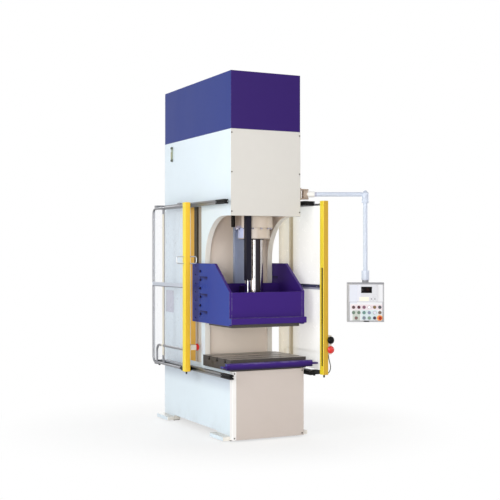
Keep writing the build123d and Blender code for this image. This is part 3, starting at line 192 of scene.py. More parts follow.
def colour_property(name, description, red, green, blue):
    """A colour that a user may change in the sidebar."""
    return bpy.props.FloatVectorProperty(
        name=name,
        description=description,
        subtype="COLOR",
        size=3,
        min=0,
        max=1,
        default=srgb(red, green, blue),
    )


def length_property(name, description, millimetres):
    """A length that a user may change in the sidebar."""
    return bpy.props.FloatProperty(
        name=name,
        description=description,
        subtype="DISTANCE",
        unit="LENGTH",
        min=0,
        default=millimetres * MM,
    )


class PressColours(bpy.types.PropertyGroup):
    """Colours of the press."""

    # Flank, edge and throat are copies of one white enamel in painted light: cool on the flanks, warm on
    # the narrow faces and inside the throat.
    flank: colour_property("Flanks", "Enamel on the outer faces of the cheeks", 228, 240, 248)
    edge: colour_property("Plate edges", "Enamel on the narrow faces of the cheeks", 236, 232, 224)
    throat: colour_property("Throat", "Enamel on the plates inside the throat", 240, 226, 212)
    head: colour_property("Head cover", "Powder coat on the head cover", 213, 210, 205)
    base: colour_property("Base cover", "Powder coat on the base cover", 202, 191, 184)
    # The two violets are one enamel in painted light: the front colour in shade, the flank colour in cool
    # light.
    violet: colour_property("Violet", "Enamel of hood and slide, seen from the front", 60, 35, 118)
    violet_side: colour_property("Violet side", "Enamel of hood and slide, on the flanks", 48, 66, 150)
    # The two yellows are one powder coat: the sides of the posts in a painted lit copy.
    yellow: colour_property("Posts", "Powder coat on the front of the guard posts", 240, 192, 38)
    yellow_lit_side: colour_property("Post sides", "Powder coat on the sides of the posts", 246, 220, 48)
    table: colour_property("Table", "Ground and oiled iron of the table", 168, 162, 157)
    bracket: colour_property("Arm bracket", "Paint on the bracket of the pendant arm", 162, 143, 127)
    arm: colour_property("Arm", "Paint on the pendant arm's tube", 200, 208, 224)
    pendant: colour_property("Pendant", "Powder coat on the pendant's front", 228, 228, 232)
    rim: colour_property("Pendant rim", "Powder coat on the pendant's case and rim", 172, 172, 176)
    stop: colour_property("Stop buttons", "Red plastic of the stop buttons", 214, 40, 34)
    warning: colour_property("Stop plate", "Field behind the pendant's stop button", 246, 176, 70)


class PressSizes(bpy.types.PropertyGroup):
    """Sizes of the small pieces, and how worn the press is."""

    weld_radius: length_property("Weld bead", "Radius of a weld bead", 3.5)
    weld_pitch: length_property("Weld pitch", "Distance from one weld ripple to the next", 5)
    lens_radius: length_property("Lens", "Radius of one lens of the light curtain", 5)
    lens_pitch: length_property("Lens pitch", "Distance from one lens to the next", 30)
    rim_width: length_property("Rim width", "Width of the pendant's rim", 10)
    blank_plate: length_property("Blank plate", "Thickness of the blank plate on the cheek", 1.5)
    wear: bpy.props.FloatProperty(
        name="Wear",
        description="How far rubbed edges and scuffs show, from none to heavy",
        subtype="FACTOR",
        min=0,
        max=1,
        default=0.4,
    )


def colour_of(name):
    return tuple(getattr(bpy.context.scene.press_colours, name))


def size_of(name):
    return getattr(bpy.context.scene.press_sizes, name)


def add_node(tree, kind, settings, sockets):
    """Add a node: its settings first, then the values or links of its sockets."""
    made = tree.nodes.new(kind)
    for name, value in settings.items():
        setattr(made, name, value)
    for key, value in sockets.items():
        if isinstance(value, bpy.types.NodeSocket):
            tree.links.new(value, made.inputs[key])
        else:
            made.inputs[key].default_value = value
    return made


class Wire:
    """A socket in a material's nodes. Operators on it add Math nodes, and node() adds any other."""

    def __init__(self, tree, socket):
        self.tree = tree
        self.socket = socket

    def node(self, kind, settings, sockets, output=0):
        plain = {
            key: value.socket if isinstance(value, Wire) else value
            for key, value in sockets.items()
        }
        return Wire(self.tree, add_node(self.tree, kind, settings, plain).outputs[output])

    def math(self, operation, first, second=0.0):
        return self.node("ShaderNodeMath", {"operation": operation}, {0: first, 1: second})

    def __add__(self, other):
        return self.math("ADD", self, other)

    def __radd__(self, other):
        return self.math("ADD", other, self)

    def __sub__(self, other):
        return self.math("SUBTRACT", self, other)

    def __rsub__(self, other):
        return self.math("SUBTRACT", other, self)

    def __mul__(self, other):
        return self.math("MULTIPLY", self, other)

    def __rmul__(self, other):
        return self.math("MULTIPLY", other, self)

    def __abs__(self):
        return self.math("ABSOLUTE", self)

    def least(self, other):
        return self.math("MINIMUM", self, other)

    def most(self, other):
        return self.math("MAXIMUM", self, other)

    def above(self, limit):
        return self.math("GREATER_THAN", self, limit)

    def below(self, limit):
        return self.math("LESS_THAN", self, limit)

    def between(self, low, high):
        """1 where the value lies between two limits, and 0 elsewhere."""
        return self.above(low) * self.below(high)

    def near(self, middle, reach):
        """1 where the value lies within reach of a middle, and 0 elsewhere."""
        return self.between(middle - reach, middle + reach)

    def ramp(self, low, high):
        """A smooth step from 0 to 1 as the value goes from low to high."""
        sockets = {"Value": self, "From Min": low, "From Max": high}
        return self.node("ShaderNodeMapRange", {"interpolation_type": "SMOOTHSTEP"}, sockets)

    def fade(self, low, high):
        """A smooth step from 1 to 0 as the value goes from low to high."""
        return 1 - self.ramp(low, high)

    def blend(self, low, high):
        """A colour between two, with this value as the share of the second."""
        ends = [end if isinstance(end, Wire) else (*end, 1.0) for end in (low, high)]
        settings = {"data_type": "RGBA", "clamp_factor": True}
        return self.node("ShaderNodeMix", settings, {0: self, 6: ends[0], 7: ends[1]}, 2)

    def lit(self, colour):
        """A colour with its brightness scaled by this value."""
        colour = colour if isinstance(colour, Wire) else (*colour, 1.0)
        return self.node("ShaderNodeHueSaturation", {}, {"Color": colour, "Value": self})

    def parts(self):
        """The three values of a vector."""
        x = self.node("ShaderNodeSeparateXYZ", {}, {0: self})
        return [Wire(self.tree, socket) for socket in x.socket.node.outputs]


class Surface:
    """A material in the making: where a point is, patterns on it, and its tone, roughness and relief."""

    def __init__(self, name, constants):
        self.material = bpy.data.materials.new(name)
        self.material.use_nodes = True
        self.tree = self.material.node_tree
        self.shader = self.tree.nodes["Principled BSDF"]
        coordinates = self.tree.nodes.new("ShaderNodeTexCoord")
        self.place = Wire(self.tree, coordinates.outputs["Object"])
        self.facing = Wire(self.tree, coordinates.outputs["Normal"]).parts()
        self.x, self.y, self.z = self.place.parts()
        self.tone = self.rough = self.metallic = self.relief = None
        for socket, value in constants.items():
            self.put(socket, value)

    def put(self, socket, value):
        """Link or set one socket of the shader."""
        if isinstance(value, Wire):
            self.tree.links.new(value.socket, self.shader.inputs[socket])
        else:
            self.shader.inputs[socket].default_value = value

    def noise(self, scale, detail=3.0, stretch=(1, 1, 1)):
        """Cloudy values about 0.5, with features of about 1/scale metres."""
        where = self.place.node("ShaderNodeMapping", {}, {"Vector": self.place, "Scale": stretch})
        sockets = {"Vector": where, "Scale": scale, "Detail": detail, "Roughness": 0.55}
        return where.node("ShaderNodeTexNoise", {}, sockets)

    def cells(self, scale):
        """Distances in a field of scattered points."""
        return self.place.node("ShaderNodeTexVoronoi", {}, {"Vector": self.place, "Scale": scale})

    def scratches(self, scale, stretch, amount):
        """1 in fine drawn-out lines: few for a small amount, many for a large one."""
        return self.noise(scale, 2.0, stretch).ramp(0.72 - 0.2 * amount, 0.78 - 0.2 * amount)

    def box_edges(self, low, high, reach):
        """1 along a box's edges, broken up, and 0 further than reach from them."""
        gaps = []
        for value, start, end in zip((self.x, self.y, self.z), low, high):
            gaps.append((end - start) / 2 - abs(value - (start + end) / 2))
        middle = gaps[0].least(gaps[1]).most(gaps[0].most(gaps[1]).least(gaps[2]))
        ragged = abs(middle) + (self.noise(55, 4.0) - 0.5) * (reach * 3)
        return ragged.fade(0.0, reach)

    def in_box(self, low, high):
        """1 inside a box, and 0 outside it."""
        x, y, z = [value.between(*ends) for value, *ends in zip((self.x, self.y, self.z), low, high)]
        return x * y * z

    def sideways(self):
        """1 on faces that look along X, and 0 on the others."""
        return abs(self.facing[0]).ramp(0.55, 0.85)

    def turned(self):
        """-1 to 1 across a round piece as the camera sees it, from the way its surface faces."""
        return self.facing[0] * ACROSS.x + self.facing[1] * ACROSS.y

    def offset(self, origin, *directions):
        """How far a point lies from an origin along each direction."""
        minus, dot = {"operation": "SUBTRACT"}, {"operation": "DOT_PRODUCT"}
        apart = self.place.node("ShaderNodeVectorMath", minus, {0: self.place, 1: origin})
        return [apart.node("ShaderNodeVectorMath", dot, {0: apart, 1: way}, 1) for way in directions]

    def from_axis(self, x, y):
        """How far a point lies from an upright axis."""
        foot = self.place.node("ShaderNodeCombineXYZ", {}, {"X": x, "Y": y, "Z": self.z})
        return foot.node("ShaderNodeVectorMath", {"operation": "DISTANCE"}, {0: self.place, 1: foot}, 1)

    def raise_by(self, height, distance):
        """Add relief: height of 0 to 1 stands for distance metres."""
        sockets = {"Height": height, "Distance": distance, "Strength": 1.0}
        if self.relief is not None:
            sockets["Normal"] = self.relief
        self.relief = height.node("ShaderNodeBump", {}, sockets)

    def coat(self, colour, gloss, wave=0.0):
        """Paint on plate: soft mottling, orange peel, slow waves of the sheet, smears and scuffs."""
        mottle = self.noise(2.3, 4.0) * 0.05 + self.noise(14, 3.0) * 0.03
        smears = self.noise(5, 3.0, (1, 1, 0.3)).ramp(0.4, 0.8)
        scuffs = self.scratches(9, (1, 1, 9), 0.3 * size_of("wear"))
        self.raise_by(self.noise(420, 2.0), 0.00012)
        if wave:
            self.raise_by(self.noise(2.6, 1.0), wave)
        self.tone = (mottle + 0.96).lit(colour)
        self.rough = gloss + smears * 0.06 + scuffs * 0.14

    def paint(self, mask, colour):
        """Another colour where the mask is 1."""
        self.tone = mask.blend(self.tone, colour)

    def rub(self, box, reach, bare, share=1.0):
        """Rub the paint through along a box's edges, down to what is under it."""
        wear_and_highlight = self.box_edges(*box, reach) * (size_of("wear") * share)
        self.paint(wear_and_highlight, bare)
        self.rough = self.rough + wear_and_highlight * 0.12

    def done(self, rougher=None, dust=0.0):
        """Link what the finish varies, with dust on what faces up, and return the material."""
        if rougher is not None:
            self.rough = self.rough + rougher
        if dust:
            film = self.facing[2].ramp(0.5, 1.0) * self.noise(9, 4.0).ramp(0.35, 0.75) * dust
            self.paint(film, srgb(168, 160, 148))
            self.rough = self.rough + film * 0.3
        self.put("Base Color", self.tone)
        self.put("Roughness", self.rough)
        if self.metallic is not None:
            self.put("Metallic", self.metallic)
        if self.relief is not None:
            self.put("Normal", self.relief)
        return self.material


class FaceSurface(Surface):
    """A finish on the pendant that also knows where a point is on the pendant's face."""

    def __init__(self, name, constants):
        super().__init__(name, constants)
        self.along, self.out = self.offset(DROP, ALONG, FACING)

    def field(self, ends, levels):
        """1 in a rectangle of the face."""
        return self.along.between(*ends) * self.z.between(*levels)

    def around(self, place, radius):
        """1 within a radius of a place on the face."""
        across, up = self.along - place[0], self.z - place[1]
        return (across * across + up * up).below(radius * radius)


def white_enamel():
    """Gloss enamel on the welded frame, soiled near the floor and streaked under the rails, in painted
    cool light on its flanks and painted warm light on its edges and inner faces, with a painted shade
    band below the bottom rail.
    """
    s = Surface("white_enamel", {"Coat Weight": 0.2, "Coat Roughness": 0.15})
    # Painted light: outer flanks take the cool copy, narrow faces the warm edge copy, inner faces the
    # warm throat copy.
    outside = abs(s.x).above(HALF_WIDTH - 3 * MM)
    lit_tint = s.sideways().blend(colour_of("edge"), outside.blend(colour_of("throat"), colour_of("flank")))
    s.coat(lit_tint, 0.34, wave=0.0012)
    soil = s.z.fade(FLOOR, 0.3) * s.noise(7, 5.0).ramp(0.4, 0.8) * 0.4
    runs = s.noise(30, 3.0, (1, 1, 0.05)).ramp(0.55, 0.8)
    for level in RAIL_LEVELS.values():
        soil = soil + s.z.between(level - 0.2, level) * runs * 0.1
    s.paint(soil * size_of("wear"), srgb(150, 140, 125))
    box = ((-HALF_WIDTH, HEAD_LOW.y, FOOT_TOP), (HALF_WIDTH, BACK, HEAD_HIGH.z))
    s.rub(box, 5 * MM, srgb(140, 138, 134), 0.6)
    # Painted shade on the flanks below the bottom rail.
    rail_foot = RAIL_LEVELS["bottom"] - RAIL_SIZE / 2
    shade = s.z.ramp(rail_foot - 0.17, rail_foot - 0.04) * s.z.fade(rail_foot, rail_foot + 2 * MM)
    s.paint(shade * s.sideways() * 0.7, srgb(186, 196, 210))
    return s.done(soil * 0.3, dust=0.15)


def throat_enamel():
    """The same enamel inside the throat, in a warm-lit copy of its colour, darkened towards the head by
    settled oil and by painted shade under the head.
    """
    s = Surface("throat_enamel", {"Coat Weight": 0.15, "Coat Roughness": 0.2})
    s.coat(colour_of("throat"), 0.36, wave=0.001)
    # Settled oil and painted shade under the head: darker and warmer towards the top.
    mist_and_shade = s.z.ramp(1.35, 2.05) * s.noise(3, 4.0).ramp(0.2, 0.7)
    drips = s.noise(26, 3.0, (1, 1, 0.04)).ramp(0.58, 0.75) * s.z.ramp(1.2, 2.0)
    s.paint(mist_and_shade * 0.25 + drips * 0.12, srgb(196, 168, 138))
    return s.done(mist_and_shade * -0.1, dust=0.1)


def cover_coat(part, shade_bottom, edge_highlight_width):
    """Powder coat on a bent sheet cover: fine texture, slow waves, a painted highlight along its left
    edge, a darker foot.
    """
    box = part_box(f"{part}_cover")
    low = box[0]
    s = Surface(f"{part}_coat", {"Coat Weight": 0.05, "Coat Roughness": 0.3})
    s.coat(colour_of(part), 0.46, wave=0.0015)
    s.raise_by(s.cells(300), 0.00008)
    s.paint(s.z.fade(low.z, low.z + 0.5) * s.noise(4, 4.0) * shade_bottom, srgb(150, 134, 124))
    s.rub(box, 4 * MM, srgb(150, 148, 146), 0.7)
    fingers = s.noise(24, 4.0).ramp(0.62, 0.78) * s.noise(3, 2.0).ramp(0.5, 0.7)
    # Painted highlight along the cover's left edge.
    s.paint(s.x.fade(low.x + edge_highlight_width, low.x + edge_highlight_width + 2 * MM) * 0.9, srgb(246, 244, 243))
    return s.done(fingers * -0.12, dust=0.1)


def violet_enamel(node, share=1.0, reach=4 * MM, lit_share=1.0):
    """Violet enamel on the hood, the slide and the table's bar, rubbed bright along its edges, in a
    painted cool-lit copy on faces that look left, and darkened as painted shade where a share below 1 is
    given.
    """
    s = Surface(f"violet_{node}", {"Specular IOR Level": 0.1, "Coat Weight": 0.0})
    # Painted light: faces that look left take the cool-lit copy, and both copies are scaled darker as
    # painted shade.
    leftward = (0 - s.facing[0]).ramp(0.55, 0.85) * s.x.below(0.0)
    lit_tint = leftward.blend(darker(colour_of("violet"), lit_share), darker(colour_of("violet_side"), lit_share))
    s.coat(lit_tint, 0.3, wave=0.001)
    chips = s.cells(46).fade(0.05, 0.09) * s.noise(2, 2.0).ramp(0.6, 0.7) * size_of("wear")
    s.paint(chips * share * 0.5, srgb(150, 148, 170))
    s.rub(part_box(node), reach, srgb(140, 136, 160), share)
    return s


def slide_box_enamel():
    """The slide's box: violet, with a darker stop lug and oil pooled between its walls."""
    s = violet_enamel("slide_box")
    low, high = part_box("slide_box")
    oil = s.z.fade(low.z, low.z + 0.12) * s.noise(18, 4.0).ramp(0.45, 0.7)
    oil = oil * s.y.between(low.y + 30 * MM, high.y - 30 * MM)
    s.paint(s.in_box(*STOP_LUG) * 0.9, srgb(38, 24, 62))
    s.paint(oil * 0.5, srgb(30, 22, 40))
    return s.done(oil * -0.15, dust=0.2)


def slide_plate_enamel(node):
    """A side plate of the slide: violet, with painted shade inside the pockets of its clamps and a
    painted shadow under their top edges.
    """
    s = violet_enamel(node)
    s.paint(s.y.ramp(-158 * MM, -152 * MM) * 0.35, colour_of("violet"))
    # Painted shade in the clamp pockets, and a painted shadow along their top edges.
    deep_shade = 0.92 - s.y.ramp(-0.33, -0.23) * 0.5
    for level in CLAMP_POCKETS:
        inside = s.y.between(*CLAMP_POCKET_ENDS) * s.z.near(level, CLAMP_POCKET_HALF)
        brow_shadow = s.z.above(level + CLAMP_POCKET_HALF - 9 * MM) * 0.9
        shade = ((s.z - level).ramp(-12 * MM, 24 * MM) * deep_shade).most(brow_shadow)
        s.paint(inside * shade, srgb(24, 14, 62))
    return s.done(dust=0.2)


def table_bar_enamel():
    """The bar across the table's front: a painted highlight along its top, painted shade below."""
    s = violet_enamel("table_front_bar", 1.2, 5 * MM)
    low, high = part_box("table_front_bar")
    # Painted shade on the lower part of the bar.
    s.paint(s.z.fade(low.z, low.z + 42 * MM) * 0.85, srgb(34, 22, 62))
    # Painted highlight along the top, broken up by noise.
    wear_and_highlight = s.z.ramp(high.z - 18 * MM, high.z - 6 * MM) * s.noise(9, 3.0, (1, 1, 4)).ramp(0.3, 0.7)
    s.paint(wear_and_highlight * 0.5, srgb(150, 140, 186))
    return s.done(dust=0.2)


def post_coat(side):
    """Yellow powder coat on a post, the right one in painted shade and the sides in a painted lit copy,
    with a bright ring handle and a black stud.
    """
    middle, front = GUARDS[side] * POST_X, POST_FRONTS[side]
    s = Surface(f"yellow_post_{side}", {"Coat Weight": 0.15, "Coat Roughness": 0.2})
    # Painted shade on the right post, and painted light on the sides of both.
    lit_tint = darker(colour_of("yellow"), 0.68 if side == "right" else 1.0)
    s.coat(s.sideways().blend(lit_tint, colour_of("yellow_lit_side")), 0.38)
    s.raise_by(s.cells(260), 0.0001)
    low = (middle - POST_HALF, front, POST_BOTTOM)
    high = (middle + POST_HALF, front + POST_DEPTH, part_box(f"{side}_post")[1].z)
    s.rub((low, high), 3 * MM, srgb(120, 104, 60))
    grime = s.noise(16, 5.0, (1, 1, 0.3)).ramp(0.6, 0.85) * s.z.fade(0.6, 1.2)
    s.paint(grime * size_of("wear"), srgb(92, 74, 30))
    handle = abs(s.x - middle).above(POST_HALF + 0.5 * MM)
    stud = s.z.below(POST_BOTTOM - 0.5 * MM)
    s.paint(handle, srgb(205, 207, 212))
    s.paint(stud, srgb(40, 40, 42))
    s.metallic = handle.most(stud) * 0.9
    return s.done(handle * -0.1)


def drawn_metal(name, colour, rough, lines, relief=0.00006, metallic=1.0):
    """Bare metal with drawn or ground lines: lines packs the noise along each axis."""
    s = Surface(name, {"Specular IOR Level": 0.2})
    fine = s.noise(40, 3.0, lines)
    broad = s.noise(6, 3.0)
    s.raise_by(fine, relief)
    s.tone = (fine * 0.16 + broad * 0.12 + 0.86).lit(colour)
    marks = s.scratches(20, lines[1:] + lines[:1], 0.2)
    s.rough = rough + fine * 0.1 + broad * 0.06 + marks * 0.1
    s.metallic = metallic
    return s


def rail_metal():
    """Anodised extrusion with draw lines along it, and black end sections at the front."""
    s = drawn_metal("rail_extrusion", srgb(150, 151, 154), 0.3, (14, 0.4, 14))
    stops = sum(
        s.z.near(level, RAIL_SIZE) * s.y.below(RAIL_FRONTS[end] + RAIL_STOP_LENGTH)
        for end, level in RAIL_LEVELS.items()
    )
    s.paint(stops, srgb(10, 10, 11))
    s.metallic = 1 - stops
    return s.done(stops * 0.08, dust=0.15)


def guard_metal(side):
    """Aluminium of a guard's frame, with black carriages, knobs, foot arm and button boxes."""
    front = POST_FRONTS[side]
    s = drawn_metal(f"guard_frame_{side}", srgb(154, 154, 158), 0.32, (9, 9, 0.7))
    inward = (s.x * GUARDS[side]).below(POST_X - 11.5 * MM)
    black = s.z.below(RAIL_LEVELS["bottom"] - 20.5 * MM)
    for level in RAIL_LEVELS.values() if side == "right" else [RAIL_LEVELS["bottom"]]:
        black = black.most(s.z.near(level, TUBE_HALF) * inward)
    black = black.most(s.z.between(*FOOT_ARM_LEVELS) * s.y.below(front + 175 * MM))
    boxes = s.z.between(*BUTTON_BOX_LEVELS) * s.y.below(front + 74.5 * MM)
    upright = s.y.near(front + UPRIGHT_SETBACK, TUBE_HALF) * s.z.between(*UPRIGHT_LEVELS)
    bar = s.z.near(MID_RAIL, TUBE_HALF)
    bar_foot = s.z.fade(MID_RAIL - 16 * MM, MID_RAIL - 10 * MM)
    s.paint(upright, srgb(226, 219, 202))
    s.paint(bar, bar_foot.blend(srgb(196, 200, 210), srgb(120, 120, 128)))
    s.paint(boxes, srgb(222, 214, 200))
    s.paint(black, srgb(10, 10, 11))
    coated = black.most(boxes).most(upright).most(bar)
    s.metallic = 1 - coated
    return s.done(coated * 0.1, dust=0.1)


def clear_sheet(side):
    """Clear guard sheet: cool-coloured, with fine scratches and hand marks; the right one is hazed, with
    a painted glow and a painted view of the upright and the shaded mid rail behind it.
    """
    s = Surface(f"clear_sheet_{side}", {"IOR": 1.49, "Coat Weight": 0.1, "Coat Roughness": 0.05})
    marks = s.scratches(7, (1, 5, 5), 0.35)
    smears = s.noise(5, 4.0).ramp(0.5, 0.85)
    edge = 1 - s.sideways()
    alpha = 0.1 + marks * 0.1 + smears * 0.05 + s.z.fade(0.5, 1.1) * 0.04 + edge * 0.45
    s.tone = (smears * 0.3).blend(srgb(226, 230, 242), srgb(240, 238, 230))
    if side == "right":
        upright = POST_FRONTS[side] + UPRIGHT_SETBACK
        band = s.y.ramp(upright - 46 * MM, upright - 34 * MM)
        band = band * s.y.fade(upright + 40 * MM, upright + 46 * MM)
        strip = s.z.near(MID_RAIL, 20 * MM)
        strip_foot = s.z.between(MID_RAIL - 26 * MM, MID_RAIL - 8 * MM)
        # On the right sheet: the upright and the mid rail behind it painted on, the rail as a painted
        # shade strip.
        s.tone = s.y.ramp(upright - 0.2, upright).blend(srgb(250, 249, 246), srgb(248, 243, 228))
        s.paint(band * 0.9, srgb(206, 190, 156))
        s.paint(strip, srgb(62, 62, 84))
        s.paint(strip_foot, srgb(146, 146, 160))
        alpha = (alpha + 0.52).most(strip.most(strip_foot) * 0.9)
        # Painted glow: the hazed sheet emits its own colour, though it is no lamp.
        s.put("Emission Color", s.tone)
        s.put("Emission Strength", 0.19)
    s.put("Alpha", alpha)
    s.rough = 0.1 + smears * 0.2
    return s.done()


def table_iron():
    """Ground iron of the table: planed lines, oil stains, bright rubbed patches with a painted
    reflection, painted shade in the slots, dark ends.
    """
    s = drawn_metal("table_iron", colour_of("table"), 0.32, (0.6, 16, 8), 0.0001)
    upper = s.facing[2].ramp(0.4, 0.9)
    ends = 1 - upper
    top = TABLE_TOP
    deep_shade = s.z.fade(top - 30 * MM, top - 2 * MM)
    rubs_and_sheen = s.noise(5, 5.0, (0.5, 1.6, 1)).ramp(0.5, 0.75) * upper * s.z.ramp(top - 4 * MM, top - 1 * MM)
    stains = s.noise(11, 5.0).ramp(0.5, 0.8)
    rust = s.cells(24).ramp(0.1, 0.5) * s.noise(30, 4.0).ramp(0.5, 0.7) * ends
    # Painted reflection on the rubbed patches of the top.
    s.paint(rubs_and_sheen * 0.6, srgb(172, 162, 152))
    s.paint(stains * 0.45, srgb(60, 52, 46))
    # Painted shade on the floors of the slots.
    s.paint(deep_shade * upper * 0.7, srgb(26, 22, 20))
    s.paint(rust * 0.35, srgb(96, 84, 52))
    s.paint(ends * 0.85, srgb(30, 24, 26))
    s.raise_by(stains, 0.0002)
    s.metallic = (1 - stains * 0.5) * (upper * 0.3 + 0.3)
    return s.done(stains * 0.15 - rubs_and_sheen * 0.12, dust=0.1)


def way_steel():
    """Polished way: a golden band along its rear edge, grease in its track above the slide, pale in
    front.
    """
    s = drawn_metal("way_steel", srgb(222, 214, 204), 0.22, (10, 10, 0.5), metallic=0.45)
    above = s.z.ramp(1.28, 1.32)
    below = 1 - above
    front_edge = above * s.y.ramp(-79 * MM, -75 * MM) + below * s.y.ramp(-87 * MM, -83 * MM)
    rear_edge = above * s.y.ramp(10 * MM, 14 * MM) + below * s.y.ramp(-22 * MM, -18 * MM)
    track = front_edge * (1 - rear_edge)
    streaks = s.noise(24, 4.0, (1, 6, 0.15)).ramp(0.45, 0.8)
    s.paint(above * (1 - front_edge), srgb(172, 158, 142))
    s.paint(above * track, srgb(64, 52, 26))
    s.paint(below * track * 0.8, srgb(180, 164, 146))
    # A golden band along the rear edge.
    s.paint(rear_edge, srgb(240, 180, 48))
    s.paint(streaks * 0.15, srgb(110, 84, 40))
    return s.done(streaks * 0.12)


def chrome():
    """Hard chrome of the piston rod: polished lengthwise, with painted reflections in light and dark
    bands across it and a film low down.
    """
    s = drawn_metal("hard_chrome", srgb(236, 234, 238), 0.08, (6, 6, 0.2), 0.00001)
    turn = s.turned()
    film = s.z.fade(1.05, 1.35) * s.noise(14, 4.0).ramp(0.4, 0.7)
    # Painted reflections: light and dark bands set by the way the surface faces.
    s.paint(turn.ramp(-0.46, -0.4) * turn.fade(0.0, 0.05) * 0.9, srgb(158, 146, 138))
    s.paint(turn.ramp(0.16, 0.22) * turn.fade(0.7, 0.76), srgb(58, 53, 58))
    s.paint(turn.ramp(0.72, 0.8), srgb(176, 170, 170))
    s.paint(film * 0.3, srgb(150, 130, 90))
    return s.done(film * 0.1)


def gland_paint():
    """Warm grey paint on the cylinder's gland, bright on the bolt heads under its flange, with a painted
    highlight on its nose and painted cool light on the side that looks left.
    """
    s = Surface("gland_paint", {"Coat Weight": 0.2, "Coat Roughness": 0.15})
    s.coat(srgb(206, 192, 178), 0.3)
    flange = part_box("cylinder_barrel")[0].z - 45 * MM
    bolts = s.from_axis(*middle_of("piston_rod")).between(148.5 * MM, 172 * MM)
    heads = bolts * s.z.between(flange - 20 * MM, flange - 0.5 * MM)
    lip = s.z.fade(GLAND_FOOT, GLAND_FOOT + 12 * MM)
    nose = s.z.fade(flange - 4 * MM, flange - 1 * MM)
    turn = s.turned()
    # Painted cool light on the side that looks left: brownish on the flange above, lavender below it,
    # pale blue on the nose.
    side = s.z.fade(flange, flange + 30 * MM).blend(srgb(116, 98, 86), srgb(120, 116, 150))
    # Painted highlight on the nose.
    s.paint(turn.ramp(-0.3, -0.1) * turn.fade(0.1, 0.3) * nose * 0.6, srgb(246, 236, 228))
    s.paint(turn.fade(-0.68, -0.6) * 0.85, nose.blend(side, srgb(172, 184, 224)))
    s.paint(lip * 0.5, srgb(120, 112, 106))
    s.paint(heads, srgb(150, 146, 158))
    s.metallic = heads * 0.6
    return s.done(heads * -0.05)


def rubber():
    """Matt black rubber with a dusty bloom."""
    s = Surface("rubber", {"Specular IOR Level": 0.3})
    bloom = s.noise(38, 4.0)
    s.raise_by(s.noise(300, 2.0), 0.0001)
    s.tone = bloom.blend(srgb(14, 14, 14), srgb(30, 29, 28))
    s.rough = 0.6 + bloom * 0.2
    return s.done()


def plastic(name, colour, gloss=0.28, sheen=0.5):
    """Moulded plastic: fine grain, faint flow marks, and a polish where it is pressed."""
    s = Surface(name, {"Specular IOR Level": sheen, "Coat Weight": sheen * 0.3, "Coat Roughness": 0.1})
    s.raise_by(s.noise(900, 2.0), 0.00004)
    s.tone = (s.noise(60, 3.0) * 0.12 + 0.94).lit(colour)
    s.rough = gloss + s.noise(150, 4.0).ramp(0.45, 0.75) * 0.14
    return s.done()


def pendant_front():
    """Powder coat on the pendant's front, with the fields behind its devices and their rings."""
    s = FaceSurface("pendant_front", {"Coat Weight": 0.1, "Coat Roughness": 0.25})
    s.coat(colour_of("pendant"), 0.4)
    for ends, levels, colour in PENDANT_FIELDS:
        s.paint(s.field(ends, levels) * 0.8, srgb(*colour))
    disc = s.around(STOP_PLACE, 26.5 * MM)
    ring = s.out.above(PANEL_DISTANCE + 0.5 * MM) * (1 - disc) * s.z.below(1.19)
    plate = s.field((-0.1245, -0.0545), (1.0465, 1.1395)) * s.out.below(PANEL_DISTANCE + 2.2 * MM)
    rings = ring * (1 - plate)
    line = s.field((-0.1535, 0.1535), (1.0435, 1.2175)) - s.field((-0.1505, 0.1505), (1.0465, 1.2145))
    s.paint(line * 0.8, srgb(122, 120, 132))
    s.paint(disc * 0.95, colour_of("warning"))
    s.paint(rings, srgb(120, 120, 124))
    s.metallic = rings * 0.8
    return s.done(rings * -0.12)


def stop_head():
    """Red plastic of the pendant's stop button, paler round its rim."""
    s = FaceSurface("emergency_stop_plastic", {"Specular IOR Level": 0.3})
    flow = s.noise(60, 3.0)
    s.raise_by(flow, 0.00005)
    red = s.around(STOP_PLACE, 14 * MM).blend(srgb(232, 118, 72), srgb(158, 52, 32))
    s.tone = (flow * 0.12 + 0.94).lit(red)
    s.rough = 0.24 + flow * 0.1
    return s.done()


def pendant_case_coat():
    """Grey powder coat on the pendant's case and rim."""
    s = Surface("pendant_case", {"Coat Weight": 0.1, "Coat Roughness": 0.25})
    s.coat(colour_of("rim"), 0.42)
    s.paint(s.z.ramp(1.38, 1.384) * 0.6, srgb(112, 112, 120))
    s.raise_by(s.cells(400), 0.0001)
    return s.done(dust=0.1)


def lamp_lenses():
    """Lenses of the pilot lamps, each in its own colour, with a moulded prism pattern."""
    s = FaceSurface("pilot_lamps", {"Coat Weight": 0.6, "Coat Roughness": 0.05})
    s.tone = srgb(90, 90, 90)
    for row, colours in zip(DEVICE_ROWS, LAMP_COLOURS):
        for column, colour in zip(DEVICE_COLUMNS, colours):
            s.paint(s.around((column, row), 20 * MM), srgb(*colour))
    prism = s.cells(420)
    s.raise_by(prism, 0.0003)
    s.tone = (prism * 0.2 + 0.9).lit(s.tone)
    s.rough = 0.14 + prism * 0.1
    return s.done()


def display_plastic():
    """White plastic of the display, with a lavender and a cream field and a seam under the screen."""
    s = FaceSurface("display_case", {"Coat Weight": 0.2, "Coat Roughness": 0.15})
    s.coat(srgb(214, 214, 220), 0.34)
    s.paint(s.field((-0.083, -0.052), (1.225, 1.377)) * 0.5, srgb(226, 228, 244))
    s.paint(s.field((-0.062, 0.026), (1.225, 1.262)) * 0.8, srgb(246, 240, 220))
    s.paint(s.field((-0.045, 0.1), (1.2838, 1.2862)) * 0.4, srgb(190, 186, 196))
    return s.done()


